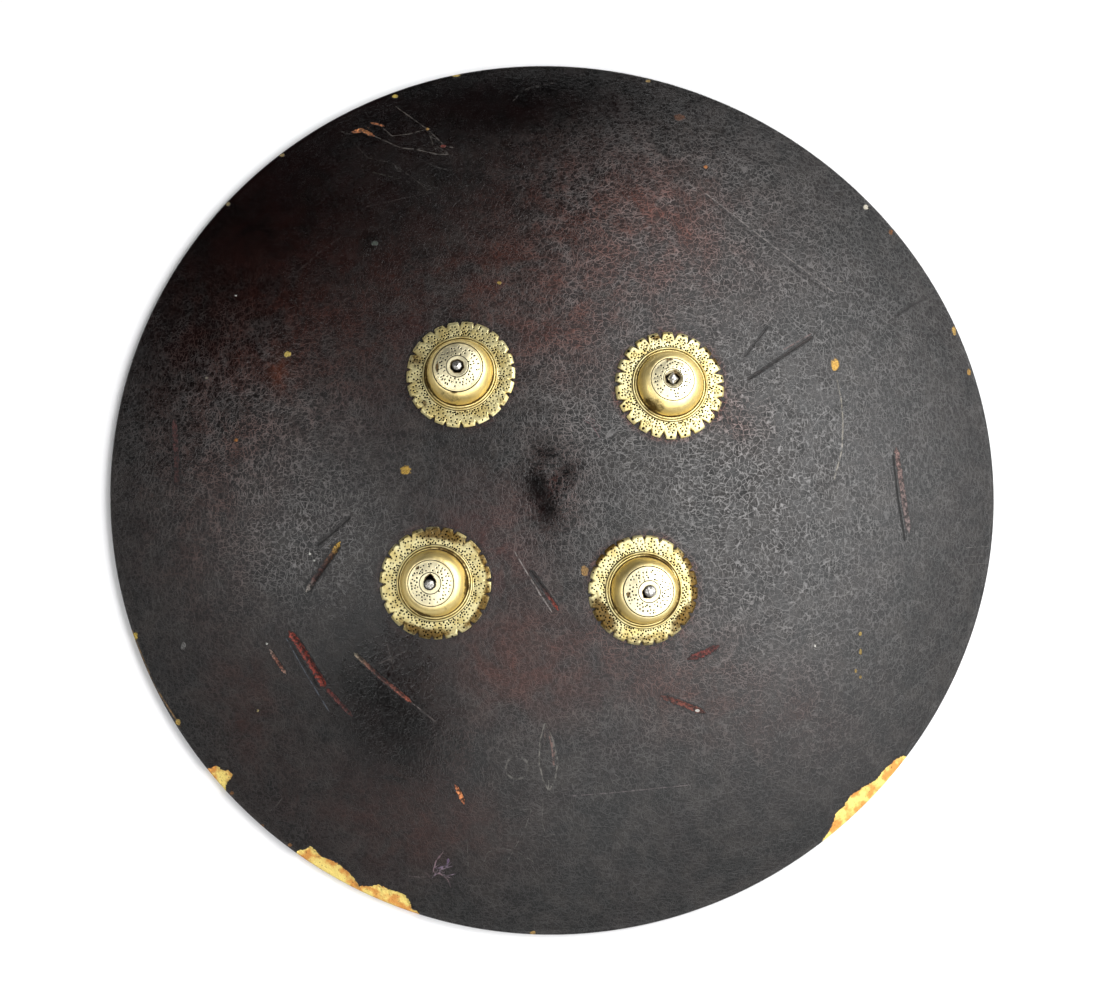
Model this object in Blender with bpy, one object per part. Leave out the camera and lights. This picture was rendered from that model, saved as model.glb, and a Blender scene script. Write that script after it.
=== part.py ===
# Round hide shield, lying face up on its rim: one domed hide bowl and four
# brass bosses, each held by an iron rivet. Metres, +Z up, the origin under
# the middle of the shield at the height of the surface that it lies on.

import math

import bmesh
import bpy
from mathutils import Vector

# Hide bowl
RIM_RADIUS = 0.240
SHIELD_DEPTH = 0.070
HIDE_THICKNESS = 0.006
DOME_POWER = 2.2
RIM_EDGE_HEIGHT = 0.0045
RIM_CORNER_ROUND = 0.0014
RIM_FOOT_ROUND = 0.0006

# The outline is a little out of round: each row is a number of lobes, their
# height and the direction of the first one, counterclockwise from +X.
OUTLINE_LOBES = (
    (2, 0.0016, math.radians(-16)),
    (3, 0.0007, math.radians(8)),
    (4, 0.0003, math.radians(5)),
)

# Flakes lost from the rim's outer corner: direction, length along the rim,
# reach towards the middle and depth. Past its length a flake runs out over a
# share of that length.
RIM_FLAKES = (
    (math.radians(220), 0.014, 0.005, 0.0010),
    (math.radians(238.4), 0.038, 0.006, 0.0012),
    (math.radians(247.8), 0.035, 0.006, 0.0012),
    (math.radians(316.4), 0.061, 0.009, 0.0014),
)
FLAKE_RUN_OUT = 0.25

# Boss, as a section turned round its own axis. Heights are above the
# underside of its flange.
BRASS_THICKNESS = 0.0012
BEAD_WIDTH = 0.0010
BEAD_FLANK = 0.00025
BEAD_HEIGHT = 0.0007
GROOVE_WIDTH = 0.0008
GROOVE_FLOOR = 0.0002
DOME_RADIUS = 0.0184
DOME_HEIGHT = 0.0092
DISC_RISE = 0.0019
TEETH = 22

# Rivet
SHANK_RADIUS = 0.0021
NUB_RADIUS = 0.0034
NUB_CORNER_RADIUS = 0.0037
NUB_HEIGHT = 0.0021
BACK_HEAD_RADIUS = 0.0060
BACK_HEAD_HEIGHT = 0.0020

# Clearances
SEAT_GAP = 0.0003
BACK_GAP = 0.0006
SHANK_CLEARANCE = 0.0004

# Each boss: plan place of its axis from the middle of the outline, width of its
# flange outside the foot moulding, width of the shoulder round the disc on its
# top, notch depth and width, and how many sides its rivet's nub has.
BOSSES = {
    "top_left": {"place": (-0.0481, 0.0568), "flange": 0.0087, "shoulder": 0.0056,
                 "notch": (0.0019, 0.0019), "nub_sides": 12},
    "top_right": {"place": (0.0628, 0.0516), "flange": 0.0090, "shoulder": 0.0070,
                  "notch": (0.0030, 0.0027), "nub_sides": 4},
    "bottom_left": {"place": (-0.0608, -0.0542), "flange": 0.0094, "shoulder": 0.0063,
                    "notch": (0.0022, 0.0021), "nub_sides": 12},
    "bottom_right": {"place": (0.0488, -0.0575), "flange": 0.0087, "shoulder": 0.0052,
                     "notch": (0.0018, 0.0019), "nub_sides": 12},
}

# Sides and rings of the curved faces
RIM_SIDES = 84
CROWN_SIDES = 42
CROWN_SHARE = 0.5
RING_SPACING = 0.0190
CORNER_STEPS = 2
BOSS_SIDES = 28
DOME_STEPS = 4
INNER_DOME_STEPS = 2
RIVET_SIDES = 12
HEAD_STEPS = 2

# How finely slopes and meeting points are worked out
SLOPE_STEP = 0.000024
FOOT_HALVINGS = 40
DRAPE_ROUNDS = 6


def clear_scene():
    for old in list(bpy.data.objects):
        bpy.data.objects.remove(old, do_unlink=True)


def material(name, color, roughness, metallic):
    made = bpy.data.materials.new(name)
    made.use_nodes = True
    shader = made.node_tree.nodes["Principled BSDF"]
    shader.inputs["Base Color"].default_value = (*color, 1.0)
    shader.inputs["Roughness"].default_value = roughness
    shader.inputs["Metallic"].default_value = metallic
    return made


def outline_radius(angle):
    """Radius of the rim's outer edge in one direction."""
    lobes = sum(height * math.cos(count * (angle - first)) for count, height, first in OUTLINE_LOBES)
    return RIM_RADIUS + lobes


def outline_centre():
    """Middle of the outline's box, measured from the centre of its lobes."""
    angles = [2 * math.pi * i / RIM_SIDES for i in range(RIM_SIDES)]
    xs = [outline_radius(a) * math.cos(a) for a in angles]
    ys = [outline_radius(a) * math.sin(a) for a in angles]
    return Vector(((min(xs) + max(xs)) / 2, (min(ys) + max(ys)) / 2, 0))


def dome_height(share):
    """Height of the outer face at a share of the way from the crown to the rim."""
    return SHIELD_DEPTH - (SHIELD_DEPTH - RIM_EDGE_HEIGHT) * share**DOME_POWER


def face_height(x, y):
    """Height of the outer face over a plan point."""
    angle = math.atan2(y, x)
    return dome_height(math.hypot(x, y) / outline_radius(angle))


def face_normal(x, y):
    across = (face_height(x + SLOPE_STEP, y) - face_height(x - SLOPE_STEP, y)) / (2 * SLOPE_STEP)
    along = (face_height(x, y + SLOPE_STEP) - face_height(x, y - SLOPE_STEP)) / (2 * SLOPE_STEP)
    return Vector((-across, -along, 1)).normalized()


def outer_point(share, angle):
    radius = share * outline_radius(angle)
    return Vector((radius * math.cos(angle), radius * math.sin(angle), dome_height(share)))


def inner_point(share, angle):
    """The outer point moved through the hide's thickness."""
    point = outer_point(share, angle)
    return point - HIDE_THICKNESS * face_normal(point.x, point.y)


def inner_foot_share(angle):
    """Share at which the inner face meets the surface that the shield lies on."""
    low = CROWN_SHARE
    high = 1.0
    for _ in range(FOOT_HALVINGS):
        middle = (low + high) / 2
        if inner_point(middle, angle).z > 0:
            low = middle
        else:
            high = middle
    return low


def flake_depth(angle, inwards):
    """How far the rim's face is flaked away at a direction and a distance in from the edge."""
    depth = 0.0
    for centre, length, reach, deepest in RIM_FLAKES:
        turn = (angle - centre + math.pi) % (2 * math.pi) - math.pi
        past_end = (abs(turn) * RIM_RADIUS - length / 2) / (length * FLAKE_RUN_OUT)
        if inwards < reach:
            depth = max(depth, deepest * min(1.0, 1 - past_end))
    return depth


def outwards(angle):
    return Vector((math.cos(angle), math.sin(angle), 0))


def ring_points(sides, place):
    return [place(2 * math.pi * i / sides) for i in range(sides)]


def join_rings(bm, first, second):
    """Faces between two rings, walking round both: quads where their counts match."""
    if len(first) == len(second):
        for i in range(len(first)):
            after = (i + 1) % len(first)
            bm.faces.new((first[i], first[after], second[after], second[i]))
        return
    i = 0
    j = 0
    while i < len(first) or j < len(second):
        start = first[i % len(first)]
        across = second[j % len(second)]
        if j == len(second) or (i < len(first) and (i + 0.5) / len(first) <= (j + 0.5) / len(second)):
            i += 1
            bm.faces.new((start, first[i % len(first)], across))
        else:
            j += 1
            bm.faces.new((start, second[j % len(second)], across))


def close_ring(bm, ring, peak):
    """A fan of faces from a ring to one point."""
    middle = bm.verts.new(peak)
    for i in range(len(ring)):
        bm.faces.new((ring[i], ring[(i + 1) % len(ring)], middle))


def loft(rings, peaks=None):
    """A closed skin over the rings, from the first to the last. With no peaks it
    joins the last ring to the first, and with two it ends in them."""
    bm = bmesh.new()
    loops = [[bm.verts.new(point) for point in points] for points in rings]
    for first, second in zip(loops, loops[1:]):
        join_rings(bm, first, second)
    if peaks:
        close_ring(bm, loops[0], peaks[0])
        close_ring(bm, loops[-1], peaks[1])
    else:
        join_rings(bm, loops[-1], loops[0])
    bmesh.ops.triangulate(bm, faces=bm.faces)
    bmesh.ops.recalc_face_normals(bm, faces=bm.faces)
    return bm


def add_object(name, bm, finish, sharp_angle=math.radians(35)):
    mesh = bpy.data.meshes.new(name)
    bm.to_mesh(mesh)
    bm.free()
    mesh.shade_smooth()
    mesh.set_sharp_from_angle(angle=sharp_angle)
    mesh.materials.append(finish)
    made = bpy.data.objects.new(name, mesh)
    bpy.context.scene.collection.objects.link(made)
    return made


def bowl_rings():
    """Rings of the bowl from its crown over the rim and back along its inner face."""
    # The face's own rings stop short of the rounded corner.
    corner_share = 1 - RIM_CORNER_ROUND / RIM_RADIUS

    def sides_at(share):
        return RIM_SIDES if share > CROWN_SHARE else CROWN_SIDES

    def outer_ring(share):
        def place(angle):
            point = outer_point(share, angle)
            point.z -= flake_depth(angle, (1 - share) * RIM_RADIUS)
            return point

        return ring_points(sides_at(share), place)

    def corner_ring(turn):
        """The rounded outer corner, from the face, at 0, to the upright edge, at a quarter turn."""

        def place(angle):
            point = outer_point(1.0, angle)
            point -= RIM_CORNER_ROUND * (1 - math.sin(turn)) * outwards(angle)
            drop = RIM_CORNER_ROUND * (1 - math.cos(turn)) + flake_depth(angle, 0)
            point.z = dome_height(corner_share) - drop
            return point

        return ring_points(RIM_SIDES, place)

    def foot_ring(inset, height):
        def place(angle):
            point = outer_point(1.0, angle) - inset * outwards(angle)
            point.z = height
            return point

        return ring_points(RIM_SIDES, place)

    def inner_ring(share_of_foot, sides):
        return ring_points(sides, lambda angle: inner_point(share_of_foot * inner_foot_share(angle), angle))

    def inner_foot_ring():
        def place(angle):
            point = inner_point(inner_foot_share(angle), angle)
            point.z = 0
            return point

        return ring_points(RIM_SIDES, place)

    count = math.ceil(RIM_RADIUS / RING_SPACING)
    flaked = max(reach for _, _, reach, _ in RIM_FLAKES) / RIM_RADIUS
    shares = [i / count for i in range(1, count)]
    shares += [1 - flaked, 1 - flaked / 2]
    rings = [outer_ring(share) for share in sorted(shares) if share < corner_share]
    for step in range(CORNER_STEPS + 1):
        rings.append(corner_ring(step / CORNER_STEPS * math.pi / 2))
    rings.append(foot_ring(0, RIM_FOOT_ROUND))
    rings.append(foot_ring(RIM_FOOT_ROUND, 0))
    rings.append(inner_foot_ring())
    inner_count = count - 2
    inner_shares = [i / inner_count for i in range(inner_count - 1, 0, -1)]
    rings += [inner_ring(share, sides_at(share)) for share in inner_shares]
    return rings


def make_bowl(finish, centre, seats):
    """The hide, with a hole for each rivet."""
    crown = Vector((0, 0, dome_height(0)))
    under_crown = crown - Vector((0, 0, HIDE_THICKNESS))
    bm = loft(bowl_rings(), (crown, under_crown))
    bmesh.ops.translate(bm, vec=-centre, verts=bm.verts)
    bowl = add_object("hide_bowl", bm, finish)
    for name, seat in seats.items():
        cutter = make_hole_cutter(name, seat)
        cut = bowl.modifiers.new("rivet hole " + name, "BOOLEAN")
        cut.object = cutter
        cut.operation = "DIFFERENCE"
        cut.solver = "EXACT"
    return bowl


def make_hole_cutter(name, seat):
    """A rod along the rivet's axis that runs well past both faces of the hide."""
    bm = bmesh.new()
    bmesh.ops.create_cone(
        bm, cap_ends=True, segments=RIVET_SIDES, depth=6 * HIDE_THICKNESS,
        radius1=hole_radius(), radius2=hole_radius(),
    )
    mesh = bpy.data.meshes.new("hole cutter " + name)
    bm.to_mesh(mesh)
    bm.free()
    cutter = bpy.data.objects.new("hole_cutter_" + name, mesh)
    bpy.context.scene.collection.objects.link(cutter)
    place_on_seat(cutter, seat)
    cutter.hide_render = True
    cutter.display_type = "WIRE"
    return cutter


def seat_of(boss, centre):
    """Where a boss's axis meets the outer face, measured from the centre of the
    outline's lobes and from the origin, and the frame of the face there."""
    point = Vector((*boss["place"], 0))
    point.z = face_height(point.x, point.y)
    normal = face_normal(point.x, point.y)
    return {
        "on_outline": point,
        "place": point - centre,
        "turn": normal.to_track_quat("Z", "Y"),
        "normal": normal,
    }


def place_on_seat(thing, seat):
    thing.location = seat["place"]
    thing.rotation_mode = "QUATERNION"
    thing.rotation_quaternion = seat["turn"]


def drape(seat, radius, angle):
    """Height of the outer face over the seat's tangent plane, along its normal."""
    across = seat["turn"] @ Vector((radius * math.cos(angle), radius * math.sin(angle), 0))
    rise = 0.0
    for _ in range(DRAPE_ROUNDS):
        point = seat["on_outline"] + across + rise * seat["normal"]
        rise -= (point.z - face_height(point.x, point.y)) / seat["normal"].z
    return rise


def foot_radius():
    """Outer radius of the moulding round the dome's foot."""
    return DOME_RADIUS + GROOVE_WIDTH + BEAD_WIDTH


def hole_radius():
    """Radius of the rivet's holes through the dome and the hide."""
    return SHANK_RADIUS + SHANK_CLEARANCE


def shoulder(steps, top_radius, foot_radius, foot_height, top_height):
    """A quarter ellipse from the foot of a dome up to its flat top: radius, height."""
    curve = []
    for step in range(steps + 1):
        turn = step / steps * math.pi / 2
        curve.append((
            top_radius + (foot_radius - top_radius) * math.cos(turn),
            foot_height + (top_height - foot_height) * math.sin(turn),
        ))
    return curve


def boss_outside(boss):
    """Moulding and dome from the flange up to the rivet's hole: radius, height."""
    foot = foot_radius()
    bead_top = BRASS_THICKNESS + BEAD_HEIGHT
    floor = BRASS_THICKNESS + GROOVE_FLOOR
    section = [
        (foot, BRASS_THICKNESS),
        (foot - BEAD_FLANK, bead_top),
        (foot - BEAD_WIDTH, bead_top),
        (foot - BEAD_WIDTH - GROOVE_WIDTH / 2, floor),
    ]
    disc = DOME_RADIUS - boss["shoulder"]
    section += shoulder(DOME_STEPS, disc, DOME_RADIUS, floor, floor + DOME_HEIGHT)
    section.append((hole_radius(), floor + DOME_HEIGHT + DISC_RISE))
    return section


def boss_inside(boss):
    """The same dome less the brass, from the hole down to the hide: radius, height."""
    top = GROOVE_FLOOR + DOME_HEIGHT
    disc = DOME_RADIUS - boss["shoulder"] - BRASS_THICKNESS / 2
    inner_dome = DOME_RADIUS - BRASS_THICKNESS
    section = [(hole_radius(), top + DISC_RISE)]
    section += reversed(shoulder(INNER_DOME_STEPS, disc, inner_dome, GROOVE_FLOOR, top))
    section.append((inner_dome, 0.0))
    return section


def tooth_outline(boss):
    """Direction and radius of each point round the notched flange."""
    depth, width = boss["notch"]
    flange_radius = foot_radius() + boss["flange"]
    pitch = 2 * math.pi / TEETH
    half_notch = width / 2 / flange_radius
    outline = []
    for tooth in range(TEETH):
        notch = tooth * pitch
        outline.append((notch, flange_radius - depth))
        outline.append((notch + half_notch, flange_radius))
        outline.append((notch + pitch / 2, flange_radius))
        outline.append((notch + pitch - half_notch, flange_radius))
    return outline


def make_boss(name, boss, seat, finish):
    """A hollow boss, open below, whose flange lies along the curve of the hide."""

    def place(radius, angle, height):
        lie = drape(seat, max(radius, foot_radius()), angle)
        return Vector((radius * math.cos(angle), radius * math.sin(angle), lie + SEAT_GAP + height))

    outline = tooth_outline(boss)
    rings = [
        [place(radius, angle, 0.0) for angle, radius in outline],
        [place(radius, angle, BRASS_THICKNESS) for angle, radius in outline],
    ]
    for radius, height in boss_outside(boss) + boss_inside(boss):
        rings.append(ring_points(BOSS_SIDES, lambda angle, r=radius, h=height: place(r, angle, h)))
    made = add_object("boss_" + name, loft(rings), finish)
    place_on_seat(made, seat)
    return made


def make_rivet(name, boss, seat, finish):
    """Nub over the boss, shank through the hide and a clenched head behind it, in one piece."""
    dome_top = BRASS_THICKNESS + GROOVE_FLOOR + DOME_HEIGHT + DISC_RISE
    highest_lie = max(drape(seat, foot_radius(), 0.0), drape(seat, foot_radius(), math.pi / 2))
    nub_foot = highest_lie + dome_top + 2 * SEAT_GAP
    back = -HIDE_THICKNESS - BACK_GAP

    def round_ring(radius, height):
        return ring_points(RIVET_SIDES, lambda angle: radius * outwards(angle) + Vector((0, 0, height)))

    def nub_ring(radius, height):
        """A round ring, or one with flat sides where the nub has fewer sides than the rivet."""
        if boss["nub_sides"] >= RIVET_SIDES:
            return round_ring(radius, height)
        flat = 2 * math.pi / boss["nub_sides"]
        corner = radius * NUB_CORNER_RADIUS / NUB_RADIUS

        def place(angle):
            reach = corner * math.cos(flat / 2) / math.cos(angle % flat - flat / 2)
            return reach * outwards(angle) + Vector((0, 0, height))

        return ring_points(RIVET_SIDES, place)

    nub = shoulder(HEAD_STEPS, 0.0, NUB_RADIUS, nub_foot, nub_foot + NUB_HEIGHT)
    back_head = shoulder(HEAD_STEPS, 0.0, BACK_HEAD_RADIUS, back, back - BACK_HEAD_HEIGHT)
    rings = [nub_ring(radius, height) for radius, height in reversed(nub[:-1])]
    rings.append(round_ring(SHANK_RADIUS, nub_foot))
    rings.append(round_ring(SHANK_RADIUS, back))
    rings += [round_ring(radius, height) for radius, height in back_head[:-1]]
    peaks = [Vector((0, 0, curve[-1][1])) for curve in (nub, back_head)]
    made = add_object("rivet_" + name, loft(rings, peaks), finish)
    place_on_seat(made, seat)
    return made


def main():
    clear_scene()
    hide = material("lacquered hide", (0.028, 0.022, 0.020), 0.45, 0.0)
    brass = material("old brass", (0.66, 0.53, 0.24), 0.32, 1.0)
    iron = material("worn iron", (0.34, 0.33, 0.31), 0.45, 1.0)

    centre = outline_centre()
    seats = {name: seat_of(boss, centre) for name, boss in BOSSES.items()}

    shield = bpy.data.objects.new("hide shield", None)
    bpy.context.scene.collection.objects.link(shield)
    pieces = [make_bowl(hide, centre, seats)]
    for name, boss in BOSSES.items():
        pieces.append(make_boss(name, boss, seats[name], brass))
        pieces.append(make_rivet(name, boss, seats[name], iron))
    for piece in pieces:
        piece.parent = shield


main()
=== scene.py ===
import math
from contextlib import contextmanager
from functools import partial

import bpy
import numpy as np
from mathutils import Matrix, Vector, noise


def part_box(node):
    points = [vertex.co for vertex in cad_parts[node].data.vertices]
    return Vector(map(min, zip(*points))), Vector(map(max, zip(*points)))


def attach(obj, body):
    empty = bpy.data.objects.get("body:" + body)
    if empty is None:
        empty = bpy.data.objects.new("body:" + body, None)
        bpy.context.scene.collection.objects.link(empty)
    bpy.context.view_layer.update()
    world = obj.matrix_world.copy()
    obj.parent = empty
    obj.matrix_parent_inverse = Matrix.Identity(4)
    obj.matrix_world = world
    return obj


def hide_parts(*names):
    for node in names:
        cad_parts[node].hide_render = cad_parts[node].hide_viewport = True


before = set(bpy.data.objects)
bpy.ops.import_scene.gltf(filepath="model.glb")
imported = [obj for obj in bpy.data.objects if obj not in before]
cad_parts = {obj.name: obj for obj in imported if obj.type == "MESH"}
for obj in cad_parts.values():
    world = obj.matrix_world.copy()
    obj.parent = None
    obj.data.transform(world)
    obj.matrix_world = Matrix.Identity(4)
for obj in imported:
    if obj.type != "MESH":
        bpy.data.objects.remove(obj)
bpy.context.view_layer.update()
mm = 0.001
fullTurn = 2 * math.pi


# Small helpers

def deselectAll():
    bpy.ops.object.select_all(action="DESELECT")


# Edit mode for the lines under it. First it selects "all", "none" or the "open" edges, if asked.
@contextmanager
def editing(kind=None, chosen=None):
    bpy.ops.object.mode_set(mode="EDIT")
    if kind:
        bpy.ops.mesh.select_mode(type=kind)
    if chosen:
        bpy.ops.mesh.select_all(action="SELECT" if chosen == "all" else "DESELECT")
    if chosen == "open":
        bpy.ops.mesh.select_non_manifold()
    yield
    bpy.ops.object.mode_set(mode="OBJECT")


# 0 below low, 1 above high, and an easy slope between
def smooth(value, low, high):
    share = np.clip((value - low) / (high - low), 0, 1)
    return share * share * (3 - 2 * share)


# Rows of a table as dictionaries, its columns named once
def table(columns, rows):
    return [dict(zip(columns.split(), row)) for row in rows]


# Blender's noise at places given in widths of its pattern
def noiseAt(x, y, z):
    return np.array([noise.noise(place) for place in np.broadcast(x, y, z)])


# sRGB hex to the linear RGBA that Blender's shaders take
def linear(hexColor):
    parts = [int(hexColor[i:i + 2], 16) / 255 for i in (1, 3, 5)]
    return [c / 12.92 if c <= 0.04045 else ((c + 0.055) / 1.055) ** 2.4 for c in parts] + [1.0]


# Adds a node with its settings. Its inputs come in the order that the node shows them, or by
# name, and each is a number, a hex colour, a socket or another node, whose first output it takes.
def addNode(tree, kind, settings=None, inputs=()):
    node = tree.nodes.new("ShaderNode" + kind)
    for key, value in (settings or {}).items():
        setattr(node, key, value)
    shown = [socket for socket in node.inputs if socket.enabled]
    for key, value in inputs.items() if isinstance(inputs, dict) else enumerate(inputs):
        socket = shown[key] if isinstance(key, int) else node.inputs[key]
        if isinstance(value, bpy.types.Node):
            value = next(output for output in value.outputs if output.enabled)
        if isinstance(value, bpy.types.NodeSocket):
            tree.links.new(value, socket)
        else:
            socket.default_value = linear(value) if isinstance(value, str) else value
    return node


# Settings of nodes
eased = {"interpolation_type": "SMOOTHSTEP"}
colors = {"data_type": "RGBA"}
plus = {"operation": "ADD"}
times = {"operation": "MULTIPLY"}
timesPlus = {"operation": "MULTIPLY_ADD"}
larger = {"operation": "MAXIMUM"}
unsigned = {"operation": "ABSOLUTE"}
scaled = {"operation": "SCALE"}


# A material, the node function for its tree, its shader, the piece's own coordinates in mm, its
# noise textures by name and the painted attributes that it reads
def newMaterial(name, grains=None, attributes=""):
    made = bpy.data.materials.new(name)
    made.use_nodes = True
    add = partial(addNode, made.node_tree)
    place = add("TexCoord").outputs["Object"]
    inMm = add("VectorMath", scaled, [place, 1 / mm])
    grain = {}
    for key, (width, *rest) in (grains or {}).items():
        shape = dict(zip(("Detail", "Roughness", "Distortion"), rest))
        grain[key] = add("TexNoise", {}, {"Vector": inMm, "Scale": 1 / width, **shape})
    painted = {key: add("Attribute", {"attribute_name": key}).outputs for key in attributes.split()}
    return made, add, made.node_tree.nodes["Principled BSDF"], inMm, grain, painted


# Links nodes to the shader's inputs by name
def feed(made, shader, sources):
    for name, node in sources.items():
        output = next(output for output in node.outputs if output.enabled)
        made.node_tree.links.new(output, shader.inputs[name])


def readPoints(thing):
    flat = np.empty(len(thing.data.vertices) * 3, np.float32)
    thing.data.vertices.foreach_get("co", flat)
    return flat.reshape(-1, 3).astype(float)


def writePoints(thing, points):
    thing.data.vertices.foreach_set("co", points.astype(np.float32).ravel())
    thing.data.update()


# One number, vector or colour for each vertex, as an attribute that the material reads
def paintNumbers(thing, name, values):
    kinds = {1: ("FLOAT", "value"), 3: ("FLOAT_VECTOR", "vector"), 4: ("FLOAT_COLOR", "color")}
    values = np.asarray(values, np.float32)
    width = 1 if values.ndim == 1 else values.shape[1]
    kind, field = kinds[width]
    attribute = thing.data.attributes.new(name, kind, "POINT")
    attribute.data.foreach_set(field, values.ravel())


def coat(thing, material):
    thing.data.materials.clear()
    thing.data.materials.append(material)


# The hide bowl's form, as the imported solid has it

bowl = {        # metres
    "rimRadius": 0.240,
    "depth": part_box("hide_bowl")[1].z,
    "edgeHeight": 0.0045,       # of the rim's upper corner, before it is rounded
    "power": 2.2,               # how the dome falls from its crown to the rim
    "thickness": 0.006,
    "cornerRound": 0.0014,
    "footRound": 0.0006,
    "lobes": ((2, 0.0016, -16), (3, 0.0007, 8), (4, 0.0003, 5)),   # count, height, degrees
    "insideBox": 0.9996,        # keeps the smooth outline within the faceted one's box
    "runsOn": 1.02,             # share of the way out to which the face's height is worked out
}


def outlineRadius(angle):
    radius = bowl["rimRadius"]
    for count, height, first in bowl["lobes"]:
        radius = radius + height * np.cos(count * (angle - math.radians(first)))
    return radius * bowl["insideBox"]


# Middle of the outline's box, which is the origin, from the centre of its lobes
def outlineMiddle():
    angles = np.linspace(0, fullTurn, 720, endpoint=False)
    xs = outlineRadius(angles) * np.cos(angles)
    ys = outlineRadius(angles) * np.sin(angles)
    return np.array(((xs.min() + xs.max()) / 2, (ys.min() + ys.max()) / 2))


middle = outlineMiddle()


def domeHeight(share):
    fall = bowl["depth"] - bowl["edgeHeight"]
    return bowl["depth"] - fall * share ** bowl["power"]


# How far out a plan point lies, from 0 at the crown to 1 at the rim, and its direction
def shareAt(x, y):
    angle = np.arctan2(y + middle[1], x + middle[0])
    return np.hypot(x + middle[0], y + middle[1]) / outlineRadius(angle), angle


def faceHeight(x, y):
    return domeHeight(np.minimum(shareAt(x, y)[0], bowl["runsOn"]))


seats = {   # where each boss sits, in metres from the middle of the rim's lobes
    "top_left": (-0.0481, 0.0568),
    "top_right": (0.0628, 0.0516),
    "bottom_left": (-0.0608, -0.0542),
    "bottom_right": (0.0488, -0.0575),
}
seatGap = 0.3       # mm between a boss's flange and the hide


# Camera, at the photo's viewing angle: almost straight down on the shield

photo = {
    "size": (1099, 1000),
    "focal": 3285.0,                    # pixels
    "distance": 1.8,                    # lens to the middle of the rim
    "tilt": 6.2,                        # degrees off plumb, towards the shield's lower edge
    "rimMiddle": (550.8, 494.5),        # pixel where the middle of the rim lies
    "sensor": 36.0,                     # mm
}
pixelWide = photo["distance"] / photo["focal"]      # what a pixel covers on the shield, in metres


def addCamera():
    width, height = photo["size"]
    tilt = math.radians(photo["tilt"])
    rimMiddle = Vector((-middle[0], -middle[1], 0))
    place = rimMiddle + photo["distance"] * Vector((0, -math.sin(tilt), math.cos(tilt)))
    aim = rimMiddle.copy()
    aim.x -= (photo["rimMiddle"][0] - width / 2) * pixelWide
    aim.y -= (height / 2 - photo["rimMiddle"][1]) * pixelWide / math.cos(tilt)
    data = bpy.data.cameras.new("camera")
    data.sensor_width = photo["sensor"]
    data.lens = photo["focal"] / width * photo["sensor"]
    camera = bpy.data.objects.new("camera", data)
    bpy.context.scene.collection.objects.link(camera)
    camera.location = place
    camera.rotation_euler = (aim - place).to_track_quat("-Z", "Y").to_euler()
    bpy.context.scene.camera = camera
    bpy.context.view_layer.update()
    return camera


camera = addCamera()
print("camera placed")


# Plan points of the shield's face under pixels of the photo
def onFace(pixels):
    pixels = np.array(pixels, float).reshape(-1, 2)
    width, height = photo["size"]
    turn = np.array(camera.matrix_world.to_3x3())
    eye = np.array(camera.location)
    rays = np.stack([
        (pixels[:, 0] - width / 2) / photo["focal"],
        (height / 2 - pixels[:, 1]) / photo["focal"],
        -np.ones(len(pixels)),
    ], axis=1) @ turn.T
    heights = np.full(len(pixels), bowl["depth"] / 2)
    for _ in range(12):
        points = eye + rays * ((heights - eye[2]) / rays[:, 2])[:, None]
        heights = faceHeight(points[:, 0], points[:, 1])
    return points[:, :2]


# What time has done to the hide. Places are pixels of the photo, sizes are in mm.

# Cuts through the lacquer: the colours run from the first point to the last, and bare is how
# much of the lacquer is gone, which is all of it where the row ends without one
gouges = table("path width depth colors bare", (
    (((289, 631), (303, 651), (315, 671), (326, 688)), 4.0, 0.8,
     ("#86382c", "#7a2c20", "#6e2418", "#842e1e")),
    (((326, 688), (338, 701), (352, 716)), 2.6, 0.4, ("#5c2420", "#40201d")),
    (((270, 650), (277, 661), (286, 674)), 2.2, 0.4, ("#a08c80", "#8a5c4c", "#84503f", "#8c7468")),
    (((354, 653), (380, 677), (411, 702)), 2.4, 0.6,
     ("#7c7462", "#6a4438", "#50302a", "#7c4436", "#904a36")),
    (((306, 592), (318, 574), (331, 556), (340, 542)), 3.2, 0.8,
     ("#8a8680", "#4a302c", "#3c2622", "#5a3c28", "#c8a044")),
    (((530, 570), (545, 591), (558, 610)), 2.2, 0.6, ("#141010", "#2a1816", "#8c3c2e")),
    (((455, 785), (460, 794), (464, 804)), 2.6, 0.5, ("#8c5038", "#f0985c", "#9c5c40")),
    (((896, 448), (902, 488), (909, 532)), 3.4, 0.35, ("#8e706a", "#806c68", "#786a68"), 0.85),
    (((893, 455), (898, 498), (905, 541)), 1.1, 0.4, ("#0c0a09", "#141110"), 0.85),
    (((174, 418), (176, 450), (177, 487)), 3.6, 0.2, ("#583230", "#4c2a28", "#3c2624"), 0.7),
    (((703, 195), (745, 228), (790, 263), (837, 299)), 2.2, 0.25, ("#2c2624", "#262020", "#231e1e"), 0.2),
    (((894, 317), (910, 306), (927, 297)), 1.8, 0.35, ("#221d1c", "#2a2423"), 0.5),
    (((744, 357), (755, 343), (768, 326)), 1.7, 0.3, ("#1e1a1a", "#252020"), 0.5),
    (((747, 380), (780, 358), (813, 336)), 2.0, 0.45, ("#2a2322", "#231d1c", "#3a302e"), 0.7),
    (((688, 659), (702, 654), (719, 646)), 3.8, 0.3, ("#5c2c28", "#6e2e28", "#4a2826")),
    (((661, 696), (682, 704), (705, 713)), 3.4, 0.4, ("#4c2e28", "#70392e", "#5c3830")),
    (((352, 132), (362, 130), (374, 136)), 2.6, 0.5, ("#b87048", "#e09458", "#a86844")),
    (((371, 123), (377, 124), (384, 126)), 1.5, 0.3, ("#a8683f", "#c0784c")),
    (((316, 546), (334, 531), (351, 516)), 2.0, 0.5, ("#2a2726", "#242120"), 0.6),
))

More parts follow.
